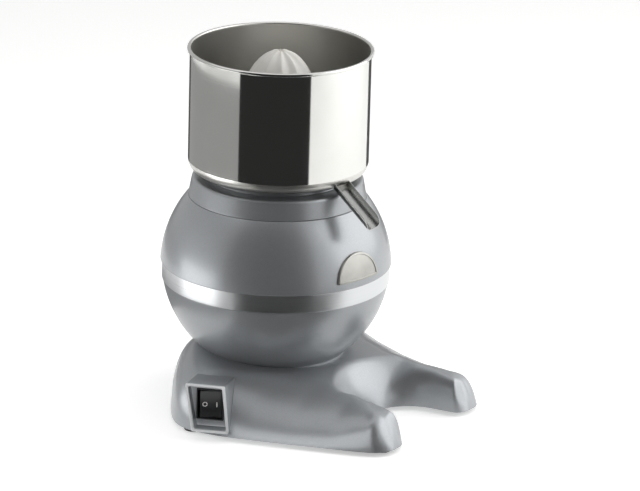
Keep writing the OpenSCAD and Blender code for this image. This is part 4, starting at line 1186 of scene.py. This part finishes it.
def punch_tree():
    """Round holes punched through a sheet at every point of a pattern."""
    tree, given = tree_with("punched_holes", ("Pattern", "NodeSocketObject"),
                            ("Hole Radius", "NodeSocketFloat"), ("Hole Depth", "NodeSocketFloat"),
                            ("Finish", "NodeSocketMaterial"))
    pattern = node(tree, "GeometryNodeObjectInfo", {"Object": given["Pattern"]}, "Geometry")
    punch = node(tree, "GeometryNodeMeshCylinder", {
        "Vertices": 20, "Radius": given["Hole Radius"], "Depth": given["Hole Depth"]}, "Mesh")
    punches = node(tree, "GeometryNodeInstanceOnPoints", {"Points": pattern, "Instance": punch})
    plain = node(tree, "GeometryNodeRealizeInstances", {"Geometry": punches})
    holed = node(tree, "GeometryNodeMeshBoolean", {"Mesh 1": given["Geometry"], "Mesh 2": plain}, "Mesh",
                 operation="DIFFERENCE", solver="EXACT")
    coated = node(tree, "GeometryNodeSetMaterial", {"Geometry": holed, "Material": given["Finish"]})
    node(tree, "NodeGroupOutput", {"Geometry": coated})
    return tree


def repeated(name, shape, spots, coat):
    """Copies of a shape on both sides of the machine."""
    both = [(side * x, y, 0) for x, y in spots for side in (-1, 1)]
    obj = grown(spot_mesh(name, both), copies_tree(), {"Shape": shape, "Finish": coat})
    bpy.data.objects.remove(shape)
    return settle(obj)


def rubber_feet():
    tread_r = FOOT_R - 2.0
    tread_h = 0.3
    heel = 0.8
    groove = 0.8
    middle = FOOT_H - 1.5 * groove
    edge = 0.3
    foot = lathe("foot", [
        (0, 0, 0), (tread_r, 0, 0.6), (tread_r, tread_h, 0.2), (FOOT_R - heel / 2, tread_h, heel),
        (FOOT_R, middle - groove / 2, edge), (FOOT_R - groove, middle, edge),
        (FOOT_R, middle + groove / 2, edge), (FOOT_R, FOOT_H, 0.4), (FOOT_NECK_R, FOOT_H, 0),
        (FOOT_NECK_R, PLATE_Z, 0), (FOOT_STEM_R, PLATE_Z, 0), (FOOT_STEM_R, PLATE_TOP, edge),
        (0, PLATE_TOP, 0)], steps=48)
    return repeated("rubber_feet", foot, FEET, RUBBER)


def underside_screws():
    head_r = 4.0
    head_low = PLATE_Z - 1.8
    head_rim = PLATE_Z - 0.6
    crown_r = 0.55 * head_r
    shank_r = 1.7
    shank_top = PLATE_TOP + 8.0
    point = 1.0
    screw = lathe("screw", [
        (0, head_low, 0), (crown_r, head_low, 0.8), (head_r, head_rim, 0.5), (head_r, PLATE_Z, 0),
        (shank_r, PLATE_Z, 0), (shank_r, shank_top, 0), (0, shank_top + point, 0)], steps=32)
    half = 2.2
    wide = 0.45
    taper = 0.5
    recess_low = head_low - 1.0
    recess_top = PLATE_Z - 0.4
    blades = []
    for x, y in ((half, wide), (wide, half)):
        square = [(-x, -y), (x, -y), (x, y), (-x, y)]
        blades.append(loft("recess", [[(u, v, recess_low) for u, v in square],
                                      [(u * taper, v * taper, recess_top) for u, v in square]]))
    return repeated("underside_screws", cut(screw, *blades), PLATE_SCREWS, ZINC)


def juice_strainer():
    middle = STRAINER_Z + STRAINER_T / 2
    spots = []
    for r in HOLE_RINGS:
        spots += [(r * math.cos(a), r * math.sin(a), middle) for a in turns(round(r * HOLES_PER_MM))]
    pattern = spot_mesh("hole_pattern", spots)
    sieve = grown(strainer_blank(), punch_tree(), {
        "Pattern": pattern, "Hole Radius": HOLE_R * MM, "Hole Depth": 4 * STRAINER_T * MM, "Finish": SATIN})
    bpy.data.objects.remove(pattern)
    return settle(sieve)


# Pieces on their bodies
dress(ball_top(), PAINT, "housing", "paint", "upper_shell")
dress(ball_bottom(), PAINT, "housing", "paint", "lower_shell")
dress(bright_band(), BRIGHT, "housing", "bright_trim", "trim_band")
dress(bowl_collar(), PAINT, "housing", "paint", "top_collar")
dress(bowl_gasket(), RUBBER, "housing", "rubber", "seat_gasket")
dress(front_plate(), NICKEL, "housing", "badge_metal", "badge")
dress(base_casting(), PAINT, "housing", "paint", "base")
dress(lead_gland(), BLACK, "housing", "black_plastic", "cable_gland")
dress(switch_pocket(), PAINT, "housing", "paint", "switch_hood")
dress(switch_bezel(), FRAME_METAL, "housing", "bright_trim", "switch_frame")
dress(switch_case(), BLACK, "housing", "black_plastic", "switch_body")
dress(rubber_feet(), RUBBER, "housing", "rubber", "feet")
dress(underside_screws(), ZINC, "housing", "zinc_steel", "plate_screws")
dress(juice_bowl(), MIRROR, "bowl_set", "polished_steel", "bowl")
dress(pouring_spout(), SATIN, "bowl_set", "polished_steel", "spout")
dress(juice_strainer(), SATIN, "sieve", "polished_steel", "strainer")
dress(reaming_cone(), WHITE, "cone", "white_plastic", "reamer")
dress(rocker_key(), BLACK, "switch_key", "black_plastic", "rocker")
dress(key_marks(), INK, "switch_key", "mark_white", "rocker_marks")

# Solids that show as they are
SHOWN = {
    SHEET: ("bottom_plate",),
    ZINC: ("collar_screws", "joint_screws", "motor_screws", "through_bolts", "shell_bolts", "badge_pins",
           "rocker_pin", "capacitor_clip"),
    SHAFT: ("drive_shaft", "drive_pin", "upper_bearing", "lower_bearing"),
    RUBBER: ("slinger", "shaft_seal"),
    CORE: ("stator_core", "rotor_core"),
    COPPER: ("upper_winding", "lower_winding"),
    CAST: ("upper_shield", "lower_shield"),
    BLACK: ("cooling_fan",),
    CAN: ("capacitor",),
    BLOCK: ("terminal_block",),
    PVC: ("leads",),
}
for coat, names in SHOWN.items():
    for name in names:
        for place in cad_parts[name].material_slots:
            place.material = coat


# Stage

PURE_WHITE = (1, 1, 1, 1)
FLOOR_GLOW = 0.45
WORLD_LIGHT = 0.35
FLOOR_HALF = 8.0
AIM_HEIGHT = 0.15


def seen(tree):
    """1 for rays that show what they hit: from the camera, a reflection or through glass."""
    path = node(tree, "ShaderNodeLightPath").node.outputs
    direct = {0: path["Is Camera Ray"], 1: path["Is Glossy Ray"]}
    shown = node(tree, "ShaderNodeMath", direct, operation="MAXIMUM")
    return node(tree, "ShaderNodeMath", {0: shown, 1: path["Is Transmission Ray"]}, operation="MAXIMUM")


def white_floor():
    """Matt white paper that shows white to the eye and keeps a soft shadow."""
    coat, tree, place = material("white_paper_floor")
    paper = node(tree, "ShaderNodeBsdfDiffuse", {"Color": linear("#F4F4F3")})
    strength = node(tree, "ShaderNodeMapRange", {"Value": seen(tree), "To Min": 0.0, "To Max": FLOOR_GLOW})
    glow = node(tree, "ShaderNodeEmission", {"Color": PURE_WHITE, "Strength": strength})
    both = node(tree, "ShaderNodeAddShader", {0: paper, 1: glow})
    node(tree, "ShaderNodeOutputMaterial", {"Surface": both})
    return coat


def painted_reflection_card(name, level):
    """Card that glows evenly at a grey level and is lit by no lamp. It is a painted reflection, and at a
    level above 1 it is brighter than white.
    """
    coat, tree, place = material(name)
    glow = node(tree, "ShaderNodeEmission", {"Color": (level, level, level, 1), "Strength": 1.0})
    node(tree, "ShaderNodeOutputMaterial", {"Surface": glow})
    return coat


# Camera at the photograph's place
CAMERA_AT = Vector((-3852.945, -2512.930, 1682.072)) * MM
CAMERA_AHEAD = Vector((0.79859905, 0.51121709, -0.31764231))
CAMERA_RIGHT = Vector((0.54604029, -0.83738183, 0.02513314))
CAMERA_UP = CAMERA_RIGHT.cross(CAMERA_AHEAD)
camera = bpy.data.cameras.new("camera")
camera.sensor_fit = "HORIZONTAL"
camera.sensor_width = 36.0
camera.lens = 305.13
camera.clip_end = 100.0
viewer = add_object("camera", camera)
turned = Matrix((CAMERA_RIGHT, CAMERA_UP, -CAMERA_AHEAD)).transposed().to_4x4()
viewer.matrix_world = Matrix.Translation(CAMERA_AT) @ turned
bpy.context.scene.camera = viewer

floor = mesh_object("floor", [
    (-FLOOR_HALF, -FLOOR_HALF, 0), (FLOOR_HALF, -FLOOR_HALF, 0), (FLOOR_HALF, FLOOR_HALF, 0),
    (-FLOOR_HALF, FLOOR_HALF, 0)], [(0, 1, 2, 3)])
floor.data.materials.append(white_floor())

# Ways on the floor, seen from the object: to the camera and to the picture's right
TOWARDS = Vector((-CAMERA_AHEAD.x, -CAMERA_AHEAD.y, 0)).normalized()
RIGHT = Vector((CAMERA_RIGHT.x, CAMERA_RIGHT.y, 0)).normalized()


def from_object(near, right, height):
    """A place given by its distance towards the camera, to the picture's right and up, in metres."""
    return TOWARDS * near + RIGHT * right + Vector((0, 0, height))


def card(name, level, one_edge, other_edge):
    """A studio card between two edges of near, right and up, that only reflections see. It lights nothing
    and casts no shadow, so what it shows on the object is a painted reflection.
    """
    points = [from_object(*p) for p in one_edge + other_edge]
    count = len(one_edge)
    obj = mesh_object(name, points, [(i, i + 1, count + i + 1, count + i) for i in range(count - 1)])
    obj.data.materials.append(painted_reflection_card(name + "_paper", level))
    obj.visible_camera = False
    obj.visible_diffuse = False
    obj.visible_transmission = False
    obj.visible_shadow = False


def upright_card(name, level, start, end, low, high):
    """A flat card that stands between two places of near and right."""
    card(name, level, [start + (low,), start + (high,)], [end + (low,), end + (high,)])


def round_card(name, level, radius, start, end, low, high, spread=0.0):
    """A card bent round the object between two ways in degrees: 0 to the camera, -90 to the left."""
    count = 24
    outer = radius + spread
    ways = [math.radians(start + (end - start) * i / count) for i in range(count + 1)]
    card(name, level, [(radius * math.cos(a), radius * math.sin(a), low) for a in ways],
         [(outer * math.cos(a), outer * math.sin(a), high) for a in ways])


# Grey level of the dark cards, and how high a card's foot and a sheet lie over the floor, in metres
DARK = 0.03
FOOT_UP = 0.002
SHEET_UP = 0.003

# Dark card in front and its narrower foot on the floor
upright_card("dark_card", DARK, start=(0.4, -0.45), end=(0.4, 0.3), low=FOOT_UP, high=1.0)
card("dark_foot", DARK, [(0.14, -0.1, SHEET_UP), (0.4, -0.3, SHEET_UP)],
     [(0.14, 0.25, SHEET_UP), (0.4, 0.3, SHEET_UP)])

# Low grey card round the left, a dark one behind and a tall grey wall from the left to the back
round_card("grey_card", 0.37, radius=0.66, start=-38, end=-150, low=FOOT_UP, high=0.132)
round_card("back_card", 0.1, radius=0.66, start=-150, end=-215, low=FOOT_UP, high=0.132)
round_card("grey_wall", 0.55, radius=1.5, start=-48, end=-200, low=FOOT_UP, high=1.7)

# Low white panel close to the object at the left, glowing at 2.8 and seen only in reflections: a painted
# highlight on the ball's lower left and on the bright band. A grey sheet on the floor before it, also seen
# only in reflections, darkens the floor where the lower ball and the bowl's corner reflect it
round_card("white_panel", 2.8, radius=0.3, start=-51, end=-91, low=0.035, high=0.14)
round_card("grey_sheet", 0.2, radius=0.2, start=-40, end=-170, low=SHEET_UP, high=SHEET_UP, spread=0.21)

# Small flags, seen only in reflections: a leaning white one glowing at 1.5, with a dark back, beside the
# near leg, which paints a pale reflection on the near leg's flank; and a dark one by the tips, which darkens
# the reflections on the legs' tips
FLAG_ENDS = ((0.235, -0.1), (0.26, 0.08))
FLAG_LEAN = 0.08
FLAG_LOW = 0.008
FLAG_HIGH = 0.065
for name, level, lift in (("leg_flag", 1.5, 0.0), ("leg_flag_back", DARK, 0.001)):
    low = FLAG_LOW + lift
    high = FLAG_HIGH + lift
    edges = [[(near, right, low), (near - FLAG_LEAN, right, high)] for near, right in FLAG_ENDS]
    card(name, level, *edges)
upright_card("tip_flag", DARK, start=(0.3, 0.22), end=(0.2, 0.4), low=FOOT_UP, high=0.06)


def softbox(name, power, size, near, right, height):
    """A soft light that faces the object."""
    lamp = bpy.data.lights.new(name, "AREA")
    lamp.shape = "RECTANGLE"
    lamp.size, lamp.size_y = size
    lamp.energy = power
    obj = add_object(name, lamp)
    obj.location = from_object(near, right, height)
    aim = Vector((0, 0, AIM_HEIGHT)) - obj.location
    obj.rotation_euler = aim.to_track_quat("-Z", "Y").to_euler()
    return obj


left_light = softbox("left_softbox", power=5.0, size=(0.7, 0.4), near=0.1, right=-1.0, height=0.3)
left_light.visible_glossy = False
softbox("right_softbox", power=10.0, size=(1.6, 1.3), near=-0.1, right=1.2, height=0.72)
top_light = softbox("top_softbox", power=7.0, size=(1.4, 1.4), near=-0.2, right=0.2, height=1.7)
top_light.visible_glossy = False

# White surroundings: full white to the eye and in reflections, softer as light
world = bpy.data.worlds.new("white_surroundings")
world.use_nodes = True
bpy.context.scene.world = world
sky = world.node_tree
sky.nodes.clear()
strength = node(sky, "ShaderNodeMapRange", {"Value": seen(sky), "To Min": WORLD_LIGHT, "To Max": 1.0})
air = node(sky, "ShaderNodeBackground", {"Color": PURE_WHITE, "Strength": strength})
node(sky, "ShaderNodeOutputWorld", {"Surface": air})

bpy.context.scene.view_settings.view_transform = "Standard"
